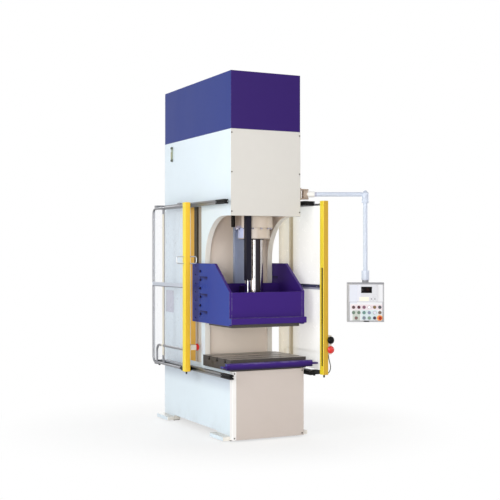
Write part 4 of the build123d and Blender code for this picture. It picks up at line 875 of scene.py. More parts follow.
def arm_coat():
    """Pale paint on the pendant arm: white collar by the hub, blue-grey tube, and a hub pin fluted in
    painted light and shade.
    """
    s = Surface("arm_enamel", {"Coat Weight": 0.25, "Coat Roughness": 0.12})
    along, = s.offset(HUB, ALONG)
    s.coat(along.below(88.5 * MM).blend(colour_of("arm"), srgb(238, 236, 232)), 0.3)
    ring = along.between(88 * MM, 108 * MM)
    coupling = s.z.between(1.416, 1.43) * 0.4
    s.paint(ring.most(coupling) * 0.5, srgb(158, 152, 178))
    turn = s.turned()
    # The hub pin's fluting as painted light and shade, set by the way the surface faces.
    flute_shading = turn.math("SINE", turn * 15).ramp(0.2, 0.9)
    pin = s.from_axis(HUB.x, HUB.y).fade(31 * MM, 33 * MM)
    s.paint(pin, (flute_shading * 0.6).blend(srgb(184, 164, 146), srgb(96, 80, 70)))
    return s.done()


def bracket_paint():
    """Sand-cast bracket under tan paint."""
    s = Surface("bracket_paint", {"Coat Weight": 0.1, "Coat Roughness": 0.3})
    s.coat(colour_of("bracket"), 0.45)
    s.raise_by(s.noise(160, 4.0), 0.0005)
    s.rub(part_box("arm_bracket"), 4 * MM, srgb(120, 100, 84))
    return s.done(dust=0.2)


def gauge_finish():
    """The oil gauge's back plate, with darker ends."""
    s = Surface("gauge_plate", {"Coat Weight": 0.2})
    low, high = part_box("oil_level_gauge")
    ends = 1 - s.z.between(low.z + 26 * MM, high.z - 26 * MM)
    s.coat(ends.blend(srgb(160, 168, 150), srgb(92, 98, 86)), 0.35)
    return s.done()


def dress(finish, *nodes):
    """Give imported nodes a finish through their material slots."""
    for name in nodes:
        node = frame["nodes"][name]
        if not node.material_slots:
            node.data.materials.append(None)
        for slot in node.material_slots:
            slot.material = finish


def finish_of(name):
    """A finish that is shared by several pieces, made when it is first needed."""
    return bpy.data.materials.get(name) or SHARED[name]()


SHARED = {
    "white_enamel": white_enamel,
    "pendant_case": pendant_case_coat,
    "rubber": rubber,
    "moulded_black": lambda: plastic("moulded_black", srgb(12, 12, 13), 0.3, 0.12),
    "dull_steel": lambda: drawn_metal("dull_steel", srgb(70, 68, 70), 0.36, (4, 4, 4)).done(),
    "zinc": lambda: drawn_metal("zinc", srgb(176, 174, 170), 0.34, (3, 3, 3)).done(),
    "dark_screws": lambda: plastic("dark_screws", srgb(30, 22, 62), 0.4, 0.15),
    "violet_screws": lambda: plastic("violet_screws", colour_of("violet_side")),
}


def add_box(shape, low, high, bevel, frame_of=None, segments=2):
    """A block with softened edges between two corners, in a frame of its own if one is given."""
    low, high = Vector(low), Vector(high)
    made = bmesh.ops.create_cube(shape, size=1.0)["verts"]
    size = Matrix.Diagonal((*(high - low), 1.0))
    bmesh.ops.transform(shape, matrix=Matrix.Translation((low + high) / 2) @ size, verts=made)
    edges = list({edge for vertex in made for edge in vertex.link_edges})
    before = set(shape.verts)
    bevelled = bmesh.ops.bevel(
        shape, geom=edges, offset=bevel, segments=segments, profile=0.5, affect="EDGES"
    )
    made = [v for v in shape.verts if v not in before] + [v for v in made if v.is_valid]
    if frame_of is not None:
        bmesh.ops.transform(shape, matrix=frame_of, verts=list(set(made) | set(bevelled["verts"])))


def add_turned(shape, profile, centre, steps=48):
    """A ring turned about an upright axis; profile is (radius, height) all the way round."""
    rings = []
    for i in range(steps):
        angle = 2 * math.pi * i / steps
        turn = Vector((math.cos(angle), math.sin(angle), 0))
        rings.append([shape.verts.new(centre + turn * r + Vector((0, 0, h))) for r, h in profile])
    for here, after in zip(rings, rings[1:] + rings[:1]):
        for i in range(len(profile)):
            j = (i + 1) % len(profile)
            shape.faces.new((here[i], after[i], after[j], here[j]))


def add_prism(shape, outline, low, high):
    """An outline in X and Y, drawn up between two heights."""
    bottom = [shape.verts.new((x, y, low)) for x, y in outline]
    top = [shape.verts.new((x, y, high)) for x, y in outline]
    shape.faces.new(list(reversed(bottom)))
    shape.faces.new(top)
    for i in range(len(outline)):
        j = (i + 1) % len(outline)
        shape.faces.new((bottom[i], bottom[j], top[j], top[i]))


def place_mesh(name, mesh, body):
    """Put a mesh in the scene as a piece that rides on a body and takes its finish from a slot."""
    mesh.set_sharp_from_angle(angle=SHARP_ANGLE)
    piece = bpy.data.objects.new(name, mesh)
    bpy.context.scene.collection.objects.link(piece)
    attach(piece, body)
    return piece


def finish_piece(name, shape, finish, body):
    """Turn a built shape into a piece with a finish."""
    bmesh.ops.remove_doubles(shape, verts=shape.verts, dist=1e-6)
    bmesh.ops.recalc_face_normals(shape, faces=shape.faces)
    mesh = bpy.data.meshes.new(name)
    shape.to_mesh(mesh)
    shape.free()
    mesh.materials.append(finish)
    mesh.shade_smooth()
    place_mesh(name, mesh, body)


def block(name, low, high, bevel, finish, body, slot, frame_of=None, segments=2):
    """One softened block as a piece of its own."""
    shape = bmesh.new()
    add_box(shape, low, high, bevel, frame_of, segments)
    finish_piece(name, shape, finish, body)


class Growth:
    """A Geometry Nodes tree in the making, with named inputs for its sizes."""

    KINDS = {"Seed": "NodeSocketInt", "Facing": "NodeSocketVector", "Material": "NodeSocketMaterial"}

    def __init__(self, name, *labels):
        self.tree = bpy.data.node_groups.new(name, "GeometryNodeTree")
        socket = self.tree.interface.new_socket
        socket("Geometry", in_out="INPUT", socket_type="NodeSocketGeometry")
        for label in labels:
            socket(label, in_out="INPUT", socket_type=self.KINDS.get(label, "NodeSocketFloat"))
        socket("Geometry", in_out="OUTPUT", socket_type="NodeSocketGeometry")
        self.given = self.tree.nodes.new("NodeGroupInput").outputs

    def add(self, kind, settings, sockets, output=0):
        return add_node(self.tree, kind, settings, sockets).outputs[output]

    def random(self, low, high):
        """A value for each copy, from the tree's seed."""
        sockets = {"Min": low, "Max": high, "Seed": self.given["Seed"]}
        return self.add("FunctionNodeRandomValue", {"data_type": "FLOAT"}, sockets, 1)

    def turned_to(self, vector):
        """The turn that lets a copy's Z axis look along a vector."""
        return self.add("FunctionNodeAlignRotationToVector", {"axis": "Z"}, {"Vector": vector})

    def ball(self, segments, rings):
        sockets = {"Segments": segments, "Rings": rings, "Radius": self.given["Radius"]}
        return self.add("GeometryNodeMeshUVSphere", {}, sockets)

    def steps(self):
        """Points along the given lines, a pitch apart."""
        lines = self.add("GeometryNodeMeshToCurve", {}, {0: self.given["Geometry"]})
        sockets = {"Curve": lines, "Length": self.given["Pitch"]}
        return self.add("GeometryNodeResampleCurve", {"mode": "LENGTH"}, sockets)

    def finish(self, points, copy, **turns):
        """End the tree: a copy at each point, as real geometry in the given material."""
        sockets = {"Points": points, "Instance": copy, **turns}
        placed = self.add("GeometryNodeInstanceOnPoints", {}, sockets)
        real = self.add("GeometryNodeRealizeInstances", {}, {0: placed})
        sockets = {"Geometry": real, "Material": self.given["Material"]}
        painted = self.add("GeometryNodeSetMaterial", {}, sockets)
        end = self.tree.nodes.new("NodeGroupOutput")
        self.tree.links.new(painted, end.inputs[0])
        return self.tree


def screw_tree():
    """Button-head screws with a hex socket, one at each point, turned to face its own way."""
    g = Growth("screws", "Head Radius", "Head Height", "Socket Radius", "Seed", "Material")
    radius, height = g.given["Head Radius"], g.given["Head Height"]
    crown = g.add("ShaderNodeMath", {"operation": "MULTIPLY"}, {0: radius, 1: 0.72})
    head = g.add(
        "GeometryNodeMeshCone", {"fill_type": "NGON"},
        {"Vertices": 20, "Radius Top": crown, "Radius Bottom": radius, "Depth": height},
    )
    lift = g.add("ShaderNodeCombineXYZ", {}, {"Z": height})
    hexagon = g.add(
        "GeometryNodeMeshCylinder", {"fill_type": "NGON"},
        {"Vertices": 6, "Radius": g.given["Socket Radius"], "Depth": height},
    )
    hexagon = g.add("GeometryNodeTransform", {}, {"Geometry": hexagon, "Translation": lift})
    halves = {"Mesh 1": head, "Mesh 2": hexagon}
    cut = g.add("GeometryNodeMeshBoolean", {"operation": "DIFFERENCE"}, halves)
    facing = g.add("GeometryNodeInputNamedAttribute", {"data_type": "FLOAT_VECTOR"}, {"Name": "facing"})
    spin = g.add("ShaderNodeCombineXYZ", {}, {"Z": g.random(0.0, math.pi)})
    spin = g.add("FunctionNodeEulerToRotation", {}, {0: spin})
    local = {"rotation_space": "LOCAL"}
    turned = g.add("FunctionNodeRotateRotation", local, {0: g.turned_to(facing), 1: spin})
    return g.finish(g.given["Geometry"], cut, Rotation=turned)


def bead_tree():
    """Overlapping drops along lines, as a weld's ripples."""
    g = Growth("beads", "Radius", "Pitch", "Seed", "Material")
    drop = g.ball(8, 6)
    tangent = g.add("GeometryNodeInputTangent", {}, {})
    return g.finish(g.steps(), drop, Rotation=g.turned_to(tangent), Scale=g.random(0.85, 1.15))


def lens_tree():
    """Small domed lenses in a row along lines, each turned to face along X."""
    g = Growth("lenses", "Radius", "Pitch", "Facing", "Material")
    dome = g.add("GeometryNodeTransform", {}, {"Geometry": g.ball(16, 8), "Scale": (1.0, 1.0, 0.3)})
    return g.finish(g.steps(), dome, Rotation=g.turned_to(g.given["Facing"]))


TREES = {"screws": screw_tree, "beads": bead_tree, "lenses": lens_tree}


def grow(name, kind, points, edges, values, body, facings=None):
    """Run a tree on points or lines, keep what it makes as one plain mesh, and let it ride."""
    tree = bpy.data.node_groups.get(kind) or TREES[kind]()
    seed = bpy.data.meshes.new(f"{name}_seed")
    seed.from_pydata([tuple(p) for p in points], edges, [])
    if facings:
        field = seed.attributes.new("facing", "FLOAT_VECTOR", "POINT")
        field.data.foreach_set("vector", [value for facing in facings for value in facing])
    carrier = bpy.data.objects.new(f"{name}_seed", seed)
    bpy.context.scene.collection.objects.link(carrier)
    growth = carrier.modifiers.new("growth", "NODES")
    growth.node_group = tree
    for item in tree.interface.items_tree:
        if item.in_out == "INPUT" and item.name in values:
            growth[item.identifier] = values[item.name]
    evaluated = carrier.evaluated_get(bpy.context.evaluated_depsgraph_get())
    mesh = bpy.data.meshes.new_from_object(evaluated)
    bpy.data.objects.remove(carrier)
    bpy.data.meshes.remove(seed)
    if not mesh.polygons:
        raise RuntimeError(f"{name}: its tree made nothing")
    mesh.name = name
    return place_mesh(name, mesh, body)


def screws(name, places, radius, height, body, finish="zinc"):
    """A set of like screws; places is (point, the way it faces)."""
    points, facings = zip(*places)
    values = {
        "Head Radius": radius,
        "Head Height": height,
        "Socket Radius": radius * 0.48,
        "Seed": 7,
        "Material": finish_of(finish),
    }
    grow(name, "screws", points, [], values, body, facings)


class StageOperator(bpy.types.Operator):
    """Camera at the photograph's place, pale floor, white surroundings and soft lamps"""

    bl_idname = "press.stage"
    bl_label = "Stage"

    def execute(self, context):
        camera = bpy.data.objects.new("camera", bpy.data.cameras.new("camera"))
        camera.location = CAMERA_PLACE
        camera.rotation_euler = (math.pi / 2, 0, CAMERA_HEADING)
        camera.data.lens = CAMERA_LENS
        camera.data.sensor_width = CAMERA_SENSOR
        camera.data.shift_y = CAMERA_RISE
        camera.data.clip_end = CAMERA_REACH
        context.scene.collection.objects.link(camera)
        context.scene.camera = camera
        context.scene.view_settings.view_transform = "Standard"
        self.add_floor(context)
        self.light_world(context)
        # Name, place, what it lights, diameter, watts and colour
        lamps = [
            ("left_lamp", (-7.5, -3.5, 4.2), (0, 0, 1.4), 5.0, 270, (0.93, 0.98, 1.0)),
            ("front_lamp", (1.5, -9.0, 4.5), (0, 0, 1.4), 4.0, 90, (1.0, 0.96, 0.9)),
            ("low_lamp", (-4.2, -6.4, 1.1), (0, 0, 1.3), 2.5, 150, (1.0, 0.97, 0.94)),
            ("right_lamp", (7.5, -1.0, 3.5), (0, 0, 1.4), 4.0, 140, (1.0, 0.98, 0.95)),
            ("back_lamp", (1.5, 8.0, 4.5), (0, 0, 1.6), 4.0, 190, (1.0, 1.0, 1.0)),
        ]
        for name, place, aim, size, power, colour in lamps:
            lamp = bpy.data.lights.new(name, "AREA")
            lamp.shape = "DISK"
            lamp.size = size
            lamp.energy = power
            lamp.color = colour
            holder = bpy.data.objects.new(name, lamp)
            holder.location = place
            holder.rotation_euler = (Vector(aim) - Vector(place)).to_track_quat("-Z", "Y").to_euler()
            context.scene.collection.objects.link(holder)
        return {"FINISHED"}

    def add_floor(self, context):
        s = Surface("studio_floor", {"Specular IOR Level": 0.2})
        mottle = s.noise(1.2, 3.0)
        s.tone = (mottle * 0.02 + 0.98).lit(srgb(243, 243, 242))
        s.rough = 0.6 + mottle * 0.1
        finish = s.done()
        rays = Wire(s.tree, s.tree.nodes.new("ShaderNodeLightPath").outputs["Is Camera Ray"])
        reach = s.place.node("ShaderNodeVectorMath", {"operation": "LENGTH"}, {0: s.place}, 1)
        white = reach.node("ShaderNodeEmission", {}, {"Color": (1, 1, 1, 1), "Strength": 1.0})
        lit = Wire(s.tree, s.shader.outputs[0])
        faded = rays * (reach.ramp(*FLOOR_FADE) * 0.35 + 0.65)
        mixed = faded.node("ShaderNodeMixShader", {}, {0: faded, 1: lit, 2: white})
        s.tree.links.new(mixed.socket, s.tree.nodes["Material Output"].inputs[0])
        mesh = bpy.data.meshes.new("floor")
        corners = [(-1, -1), (1, -1), (1, 1), (-1, 1)]
        points = [(x * FLOOR_HALF, y * FLOOR_HALF, FLOOR) for x, y in corners]
        mesh.from_pydata(points, [], [(0, 1, 2, 3)])
        mesh.materials.append(finish)
        floor = bpy.data.objects.new("floor", mesh)
        context.scene.collection.objects.link(floor)

    def light_world(self, context):
        world = bpy.data.worlds.new("studio")
        context.scene.world = world
        world.use_nodes = True
        tree = world.node_tree
        rays = tree.nodes.new("ShaderNodeLightPath").outputs
        seen = Wire(tree, rays["Is Camera Ray"])
        for kind in ("Is Glossy Ray", "Is Transmission Ray"):
            seen = seen.most(Wire(tree, rays[kind]))
        dim, bright = [
            seen.node("ShaderNodeBackground", {}, {"Color": (1, 1, 1, 1), "Strength": strength})
            for strength in (0.5, 1.0)
        ]
        mix = seen.node("ShaderNodeMixShader", {}, {0: seen, 1: dim, 2: bright})
        tree.links.new(mix.socket, tree.nodes["World Output"].inputs[0])


class FrameOperator(bpy.types.Operator):
    """Finishes of the welded frame, its covers, the cylinder and the table"""

    bl_idname = "press.frame"
    bl_label = "Frame finishes"

    def execute(self, context):
        dress(finish_of("white_enamel"), "left_cheek", "right_cheek", "rear_plate")
        dress(throat_enamel(), "throat_web", "bed_plate", "cylinder_plate")
        dress(cover_coat("head", 0.05, 0.0), "head_cover")
        dress(cover_coat("base", 0.15, 36 * MM), "base_cover")
        # The hood's violet scaled darker as painted shade.
        dress(violet_enamel("hood", 0.5, lit_share=0.74).done(dust=0.2), "hood")
        dress(table_bar_enamel(), "table_front_bar")
        dress(finish_of("rubber"), "foot_pads")
        dress(table_iron(), "bolster")
        dress(way_steel(), "left_way", "right_way")
        dress(gland_paint(), "cylinder_gland", "cylinder_barrel")
        dress(drawn_metal("cover_screws", srgb(96, 92, 88), 0.36, (3, 3, 3)).done(), "cover_screws")
        dress(finish_of("dull_steel"), "oil_tank", "pump_motor", "valve_block")
        anodised = drawn_metal("anodised_tube", srgb(20, 18, 34), 0.38, (8, 8, 0.5), metallic=0.2)
        dress(anodised.done(), "transducer_tube")
        dress(gauge_finish(), "oil_level_gauge")
        dress(bracket_paint(), "arm_bracket")
        dress(rail_metal(), "left_rails", "right_rails")
        return {"FINISHED"}


class SlideOperator(bpy.types.Operator):
    """Finishes of the slide, its guides and the piston rod"""

    bl_idname = "press.slide"
    bl_label = "Slide finishes"

    def execute(self, context):
        for name in ("slide_left_plate", "slide_right_plate"):
            dress(slide_plate_enamel(name), name)
        dress(violet_enamel("ram_plate").done(dust=0.2), "ram_plate")
        dress(slide_box_enamel(), "slide_box")
        ground = drawn_metal("tool_plate", srgb(92, 88, 86), 0.34, (0.6, 12, 4))
        dress(ground.done(dust=0.1), "tool_plate")
        bronze = drawn_metal("bronze", srgb(190, 132, 60), 0.28, (4, 4, 0.6))
        dress(bronze.done(), "left_gib", "right_gib")
        dress(finish_of("dark_screws"), "gib_screws")
        dress(chrome(), "piston_rod")
        guide = drawn_metal("guide_bar", srgb(158, 168, 194), 0.3, (10, 10, 0.4), metallic=0.4)
        dress(guide.done(), "rear_guide_bar")
        bright = drawn_metal("bright_steel", srgb(214, 214, 220), 0.16, (6, 6, 0.4))
        dress(bright.done(), "transducer_rod")
        return {"FINISHED"}


class GuardOperator(bpy.types.Operator):
    """Finishes of the sliding guards, and the lenses in their posts"""

    bl_idname = "press.guards"
    bl_label = "Guards"

    def execute(self, context):
        stop = plastic("stop_plastic", colour_of("stop"), 0.22)
        glass = self.lens_glass()
        for side, sign in GUARDS.items():
            dress(post_coat(side), f"{side}_post")
            dress(guard_metal(side), f"{side}_guard_frame")
            dress(clear_sheet(side), f"{side}_guard_panel")
            dress(stop, f"{side}_stop_button")
            self.add_lenses(side, sign, glass)
        dress(finish_of("moulded_black"), "right_start_button")
        return {"FINISHED"}

    def lens_glass(self):
        s = Surface("curtain_glass", {"Coat Weight": 0.8, "Coat Roughness": 0.03})
        bands = s.noise(60, 2.0, (1, 1, 0.2))
        s.tone = (bands * 0.4 + 0.8).lit(srgb(34, 24, 20))
        s.rough = 0.12 + bands * 0.06
        return s.done()

    def add_lenses(self, side, sign, glass):
        """The dark window of the light curtain in the post's groove, and its row of lenses."""
        face = sign * (POST_X - POST_HALF)
        floor_of_groove = face + sign * LENS_GROOVE_DEPTH
        window = face + sign * 2.5 * MM
        start, end = [POST_FRONTS[side] + place for place in LENS_GROOVE]
        gap = 0.4 * MM
        low = (min(window, floor_of_groove), start + gap, LENS_LEVELS[0] + gap)
        high = (max(window, floor_of_groove), end - gap, LENS_LEVELS[1] - gap)
        block(f"{side}_curtain_window", low, high, 0.8 * MM, glass, f"{side}_guard", "black_plastic")
        middle = (start + end) / 2
        margin = size_of("lens_pitch")
        line = [(window, middle, LENS_LEVELS[0] + margin), (window, middle, LENS_LEVELS[1] - margin)]
        values = {
            "Radius": size_of("lens_radius"),
            "Pitch": size_of("lens_pitch"),
            "Facing": (-sign, 0.0, 0.0),
            "Material": finish_of("moulded_black"),
        }
        grow(f"{side}_curtain_lenses", "lenses", line, [(0, 1)], values, f"{side}_guard")


class PendantOperator(bpy.types.Operator):
    """Finishes of the pendant, its arm and its devices, with its rim, screen and keys"""

    bl_idname = "press.pendant"
    bl_label = "Pendant"

    def execute(self, context):
        dress(arm_coat(), "pendant_arm")
        dress(finish_of("pendant_case"), "pendant_case")
        dress(pendant_front(), "front_panel")
        dress(display_plastic(), "display_unit")
        dress(lamp_lenses(), "pilot_lamps")
        devices = {
            "green_button": (96, 140, 132),
            "blue_button": (132, 142, 170),
            "white_button": (226, 226, 238),
            "grey_button": (122, 134, 150),
            "start_button": (120, 150, 130),
            "black_button": (58, 42, 62),
            "selector_switch": (122, 104, 86),
            "key_switch": (134, 100, 96),
        }
        for name, colour in devices.items():
            dress(plastic(f"{name}_plastic", srgb(*colour)), name)
        dress(stop_head(), "emergency_stop")
        self.add_rim()
        self.add_screen()
        self.add_keys()
        return {"FINISHED"}

    def add_rim(self):
        """A proud rim round the front, wider along the top."""
        width = size_of("rim_width")
        top_width = 16 * MM
        proud = 2.5 * MM
        margin = 3.2 * MM
        left, right = -PANEL_HALF + margin, PANEL_HALF - margin
        low, high = PANEL_LOW + margin, PANEL_HIGH - margin
        shape = bmesh.new()
        bars = [
            ((left, low), (left + width, high)),
            ((right - width, low), (right, high)),
            ((left + width, low), (right - width, low + width)),
            ((left + width, high - top_width), (right - width, high)),
        ]
        for (u0, z0), (u1, z1) in bars:
            add_box(shape, (u0, z0, 0), (u1, z1, proud), 0.6 * MM, ON_PANEL)
        finish_piece("pendant_rim", shape, finish_of("pendant_case"), "pendant")
        ends = (-22 * MM, low, proud), (28 * MM, low + width, proud + 2 * MM)
        black = finish_of("moulded_black")
        block("pendant_catch", *ends, 0.6 * MM, black, "pendant", "black_plastic", ON_PANEL)

    def add_screen(self):
        """The dark glass in the display's recess, proud of its floor."""
        s = FaceSurface("screen_glass", {"Specular IOR Level": 0.1})
        glow = s.field((0.0, 0.03), (1.32, 1.345)) * s.noise(90, 2.0).ramp(0.35, 0.7)
        lines = s.noise(260, 1.0, (0.2, 0.2, 1))
        s.tone = (lines * 0.3 + 0.85).lit(srgb(14, 10, 12))
        s.paint(glow * 0.35, srgb(74, 40, 34))
        s.rough = 0.1 + lines * 0.05
        recess = 6 * MM
        low = (-45.6 * MM, 1298.9 * MM, recess)
        high = (53.6 * MM, 1356.1 * MM, recess + 1.4 * MM)
        block("screen_glass", low, high, 0.4 * MM, s.done(), "pendant", "black_plastic", ON_PANEL)

    def add_keys(self):
        """Four arrow keys in a cross beside the cream strip, with four small ones at its corners."""
        centre_u, centre_z = 64.5 * MM, 1244 * MM
        face = 8 * MM
        keys = [(-16, 0, 5, "dark"), (16, 0, 5, "dark"), (0, 13, 4, "pale"), (0, -13, 4, "pale")]
        keys += [(u, v, 3, "pale") for u in (-22, 22) for v in (-18, 18)]
        finishes = {
            "dark": plastic("dark_keys", srgb(104, 104, 106)),
            "pale": plastic("pale_keys", srgb(206, 204, 210)),
        }
        for tone, finish in finishes.items():
            shape = bmesh.new()
            for u, v, half, kind in keys:
                if kind == tone:
                    low = (centre_u + (u - half) * MM, centre_z + (v - half) * MM, face)
                    high = (centre_u + (u + half) * MM, centre_z + (v + half) * MM, face + 1.2 * MM)
                    add_box(shape, low, high, 0.5 * MM, ON_PANEL)
            finish_piece(f"display_keys_{tone}", shape, finish, "pendant")


class CableOperator(bpy.types.Operator):
    """The short lead from the right-hand button box to the foot of its post"""

    bl_idname = "press.cable"
    bl_label = "Button lead"

    def execute(self, context):
        curve = bpy.data.curves.new("button_lead", "CURVE")
        curve.dimensions = "3D"
        curve.bevel_depth = CABLE_RADIUS
        curve.bevel_resolution = 4
        curve.resolution_u = 16
        curve.use_fill_caps = True
        line = curve.splines.new("NURBS")
        line.points.add(len(CABLE_POINTS) - 1)
        for point, place in zip(line.points, CABLE_POINTS):
            point.co = (*place, 1.0)
        line.order_u = 3
        line.use_endpoint_u = True
        curve.materials.append(finish_of("rubber"))
        lead = bpy.data.objects.new("button_lead", curve)
        context.scene.collection.objects.link(lead)
        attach(lead, "right_guard")
        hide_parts("button_cable")
        return {"FINISHED"}


class WeldOperator(bpy.types.Operator):
    """Weld beads along the feet, the throat's web and the roof, under the enamel"""

    bl_idname = "press.welds"
    bl_label = "Weld beads"

    def execute(self, context):
        lines = []
        for sign in GUARDS.values():
            for centre in FOOT_CENTRES:
                ends = (
                    max(centre - FOOT_LENGTH / 2, HEAD_LOW.y + 3 * MM),
                    min(centre + FOOT_LENGTH / 2, BACK),
                )
                lines.append([(sign * HALF_WIDTH, y, FOOT_TOP) for y in ends])
            lines.append([(sign * CHEEK_INNER, WEB_LOW.y, z) for z in (TABLE_TOP, WEB_HIGH.z)])
            lines.append([(sign * CHEEK_INNER, y, WEB_HIGH.z) for y in (HEAD_LOW.y + 40 * MM, WEB_LOW.y)])
        lines.append([(x, WEB_LOW.y, WEB_HIGH.z) for x in (-CHEEK_INNER, CHEEK_INNER)])
        points = [point for line in lines for point in line]
        edges = [(2 * i, 2 * i + 1) for i in range(len(lines))]
        values = {
            "Radius": size_of("weld_radius"),
            "Pitch": size_of("weld_pitch"),
            "Seed": 3,
            "Material": finish_of("white_enamel"),
        }
        beads = grow("weld_beads", "beads", points, edges, values, "root")
        beads.data.shade_smooth()
        return {"FINISHED"}


class ScrewOperator(bpy.types.Operator):
    """Screws of the arm's bracket, hood, guards and pendant"""

    bl_idname = "press.screws"
    bl_label = "Screws"

    def execute(self, context):
        plate_low, plate_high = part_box("arm_bracket")
        face = HALF_WIDTH + 12 * MM
        bolts = [
            ((face, y, z), (1, 0, 0))
            for y in (plate_low.y + 17 * MM, plate_high.y - 12 * MM)
            for z in (HUB.z - 22 * MM, HUB.z + 22 * MM)
        ]
        screws("bracket_bolts", bolts, 8 * MM, 7 * MM, "root")
        level = HOOD_FOOT + 18 * MM
        edge = [
            ((sign * HALF_WIDTH, y, level), (sign, 0, 0))
            for sign in GUARDS.values()
            for y in (-0.7, -0.36, -0.02, 0.33, 0.67)
        ]
        edge += [((x, BACK, level), (0, 1, 0)) for x in (-0.29, 0, 0.29)]
        screws("hood_screws", edge, 5 * MM, 3 * MM, "root", "violet_screws")
        for side, sign in GUARDS.items():
            self.add_guard_screws(side, sign)
        self.add_pendant_screws()
        return {"FINISHED"}

    def add_guard_screws(self, side, sign):
        """Screws that hold the clear sheet to the upright and the mid rail, heads inwards."""
        sheet_low, sheet_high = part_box(f"{side}_guard_panel")
        inner = sheet_low.x if sign > 0 else sheet_high.x
        size = sheet_high - sheet_low
        upright = POST_FRONTS[side] + UPRIGHT_SETBACK
        places = [(upright, sheet_low.z + share * size.z) for share in (0.04, 0.26, 0.74, 0.96)]
        places += [(sheet_low.y + share * size.y, MID_RAIL) for share in (0.08, 0.42, 0.92)]
        heads = [((inner, y, z), (-sign, 0, 0)) for y, z in places]
        screws(f"{side}_sheet_screws", heads, 5 * MM, 2.5 * MM, f"{side}_guard")

    def add_pendant_screws(self):
        """Screws in the corners of the display and in the pendant's rim."""
        display = [(u, z, 8) for u in (-76.5, 99.5) for z in (1222, 1370)]
        rim = [(u, z, 2.5) for u in (-158.5, 158.5) for z in (1045, 1212, 1380)]
        heads = [(ON_PANEL @ (Vector(place) * MM), FACING) for place in display + rim]
        screws("pendant_screws", heads, 3 * MM, 1.6 * MM, "pendant")


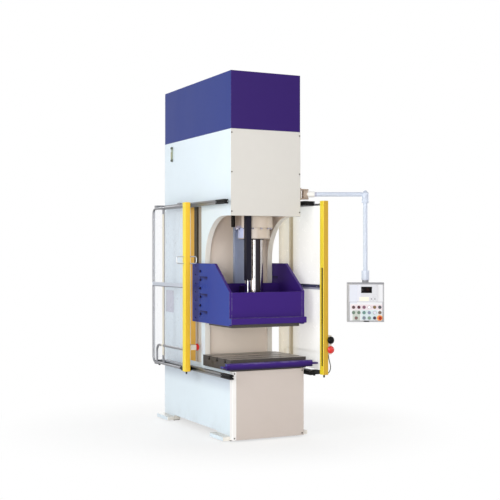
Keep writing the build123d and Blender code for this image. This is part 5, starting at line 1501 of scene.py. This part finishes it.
class FittingsOperator(bpy.types.Operator):
    """Gauge window, blank plate, guide shoes and the rod's wiper"""

    bl_idname = "press.fittings"
    bl_label = "Fittings"

    def execute(self, context):
        self.add_gauge_window()
        self.add_blank_plate()
        self.add_guide_shoes()
        self.add_wiper()
        return {"FINISHED"}

    def add_gauge_window(self):
        """A glass column on the oil gauge, filled with oil to two thirds."""
        low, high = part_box("oil_level_gauge")
        middle_y = middle_of("oil_level_gauge")[1]
        s = Surface("gauge_glass", {"Coat Weight": 1.0, "Coat Roughness": 0.03})
        ticks = s.z.math("FRACT", s.z * 100).below(0.12) * s.y.above(middle_y + 2 * MM)
        cloud = s.noise(80, 3.0)
        s.tone = s.z.fade(low.z + 96 * MM, low.z + 97 * MM).blend(srgb(204, 214, 200), srgb(150, 140, 60))
        s.paint(ticks * 0.7, srgb(60, 60, 50))
        s.tone = (cloud * 0.2 + 0.9).lit(s.tone)
        s.rough = 0.1 + cloud * 0.05
        face = low.x + 6 * MM
        ends = (
            (face - 3 * MM, middle_y - 6 * MM, low.z + 28 * MM),
            (face, middle_y + 6 * MM, high.z - 28 * MM),
        )
        block("gauge_window", *ends, 1.5 * MM, s.done(), "root", "gauge_glass", segments=3)

    def add_blank_plate(self):
        """A plain grey plate near the rear edge of the left cheek, held by four rivets."""
        s = Surface("blank_plate", {})
        s.coat(srgb(206, 206, 220), 0.4)
        s.metallic = s.noise(9, 2.0) * 0.3
        face = -HALF_WIDTH - size_of("blank_plate")
        low, high = (face, 532 * MM, 1072 * MM), (-HALF_WIDTH, 738 * MM, 1292 * MM)
        block("blank_plate", low, high, 0.5 * MM, s.done(), "root", "aluminium")
        inset = 12 * MM
        corners = [
            ((face, y, z), (-1, 0, 0))
            for y in (low[1] + inset, high[1] - inset)
            for z in (low[2] + inset, high[2] - inset)
        ]
        screws("plate_rivets", corners, 4 * MM, 1.8 * MM, "root")

    def add_guide_shoes(self):
        """Black shoes under the head that hold the two edges of the rear guide bar."""
        bar_low, bar_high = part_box("rear_guide_bar")
        gap = 1 * MM
        wall = 12 * MM
        reach = 24 * MM
        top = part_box("cylinder_plate")[0].z
        for side, sign in GUARDS.items():
            edge = sign * bar_high.x
            outer, lip = edge + sign * (gap + wall), edge - sign * reach
            inner_edge = edge + sign * gap
            rear, front = bar_high.y + gap, bar_low.y - gap
            outline = [
                (outer, front - wall), (outer, rear + wall), (lip, rear + wall), (lip, rear),
                (inner_edge, rear), (inner_edge, front), (lip, front), (lip, front - wall),
            ]
            shape = bmesh.new()
            add_prism(shape, outline, top - 118 * MM, top)
            finish_piece(f"{side}_guide_shoe", shape, finish_of("moulded_black"), "root")

    def add_wiper(self):
        """The rod's wiper: a black lipped ring under the gland."""
        inside, outside = 85.6 * MM, 99 * MM
        profile = [
            (inside, -5 * MM), (inside + 3 * MM, -6.5 * MM), (outside - 3 * MM, -4 * MM),
            (outside, -2 * MM), (outside, 0), (inside + 1.5 * MM, 0),
        ]
        shape = bmesh.new()
        add_turned(shape, profile, Vector((*middle_of("cylinder_gland"), GLAND_FOOT)))
        finish_piece("rod_wiper", shape, finish_of("rubber"), "root")


class PressPanel(bpy.types.Panel):
    """Sidebar panel with the colours, sizes and steps of the press"""

    bl_idname = "VIEW3D_PT_press"
    bl_label = "Hydraulic press"
    bl_space_type = "VIEW_3D"
    bl_region_type = "UI"
    bl_category = "Press"

    def draw(self, context):
        for group in (context.scene.press_colours, context.scene.press_sizes):
            for name in group.__annotations__:
                self.layout.prop(group, name)
        for step in STEPS:
            self.layout.operator(step.bl_idname)


STEPS = (
    StageOperator,
    FrameOperator,
    SlideOperator,
    GuardOperator,
    PendantOperator,
    CableOperator,
    WeldOperator,
    ScrewOperator,
    FittingsOperator,
)
CLASSES = (PressColours, PressSizes, *STEPS, PressPanel)


def register():
    for item in CLASSES:
        bpy.utils.register_class(item)
    bpy.types.Scene.press_colours = bpy.props.PointerProperty(type=PressColours)
    bpy.types.Scene.press_sizes = bpy.props.PointerProperty(type=PressSizes)


def unregister():
    del bpy.types.Scene.press_sizes
    del bpy.types.Scene.press_colours
    for item in reversed(CLASSES):
        bpy.utils.unregister_class(item)


def main():
    register()
    for step in STEPS:
        group, name = step.bl_idname.split(".")
        getattr(getattr(bpy.ops, group), name)()


if __name__ == "__main__":
    main()
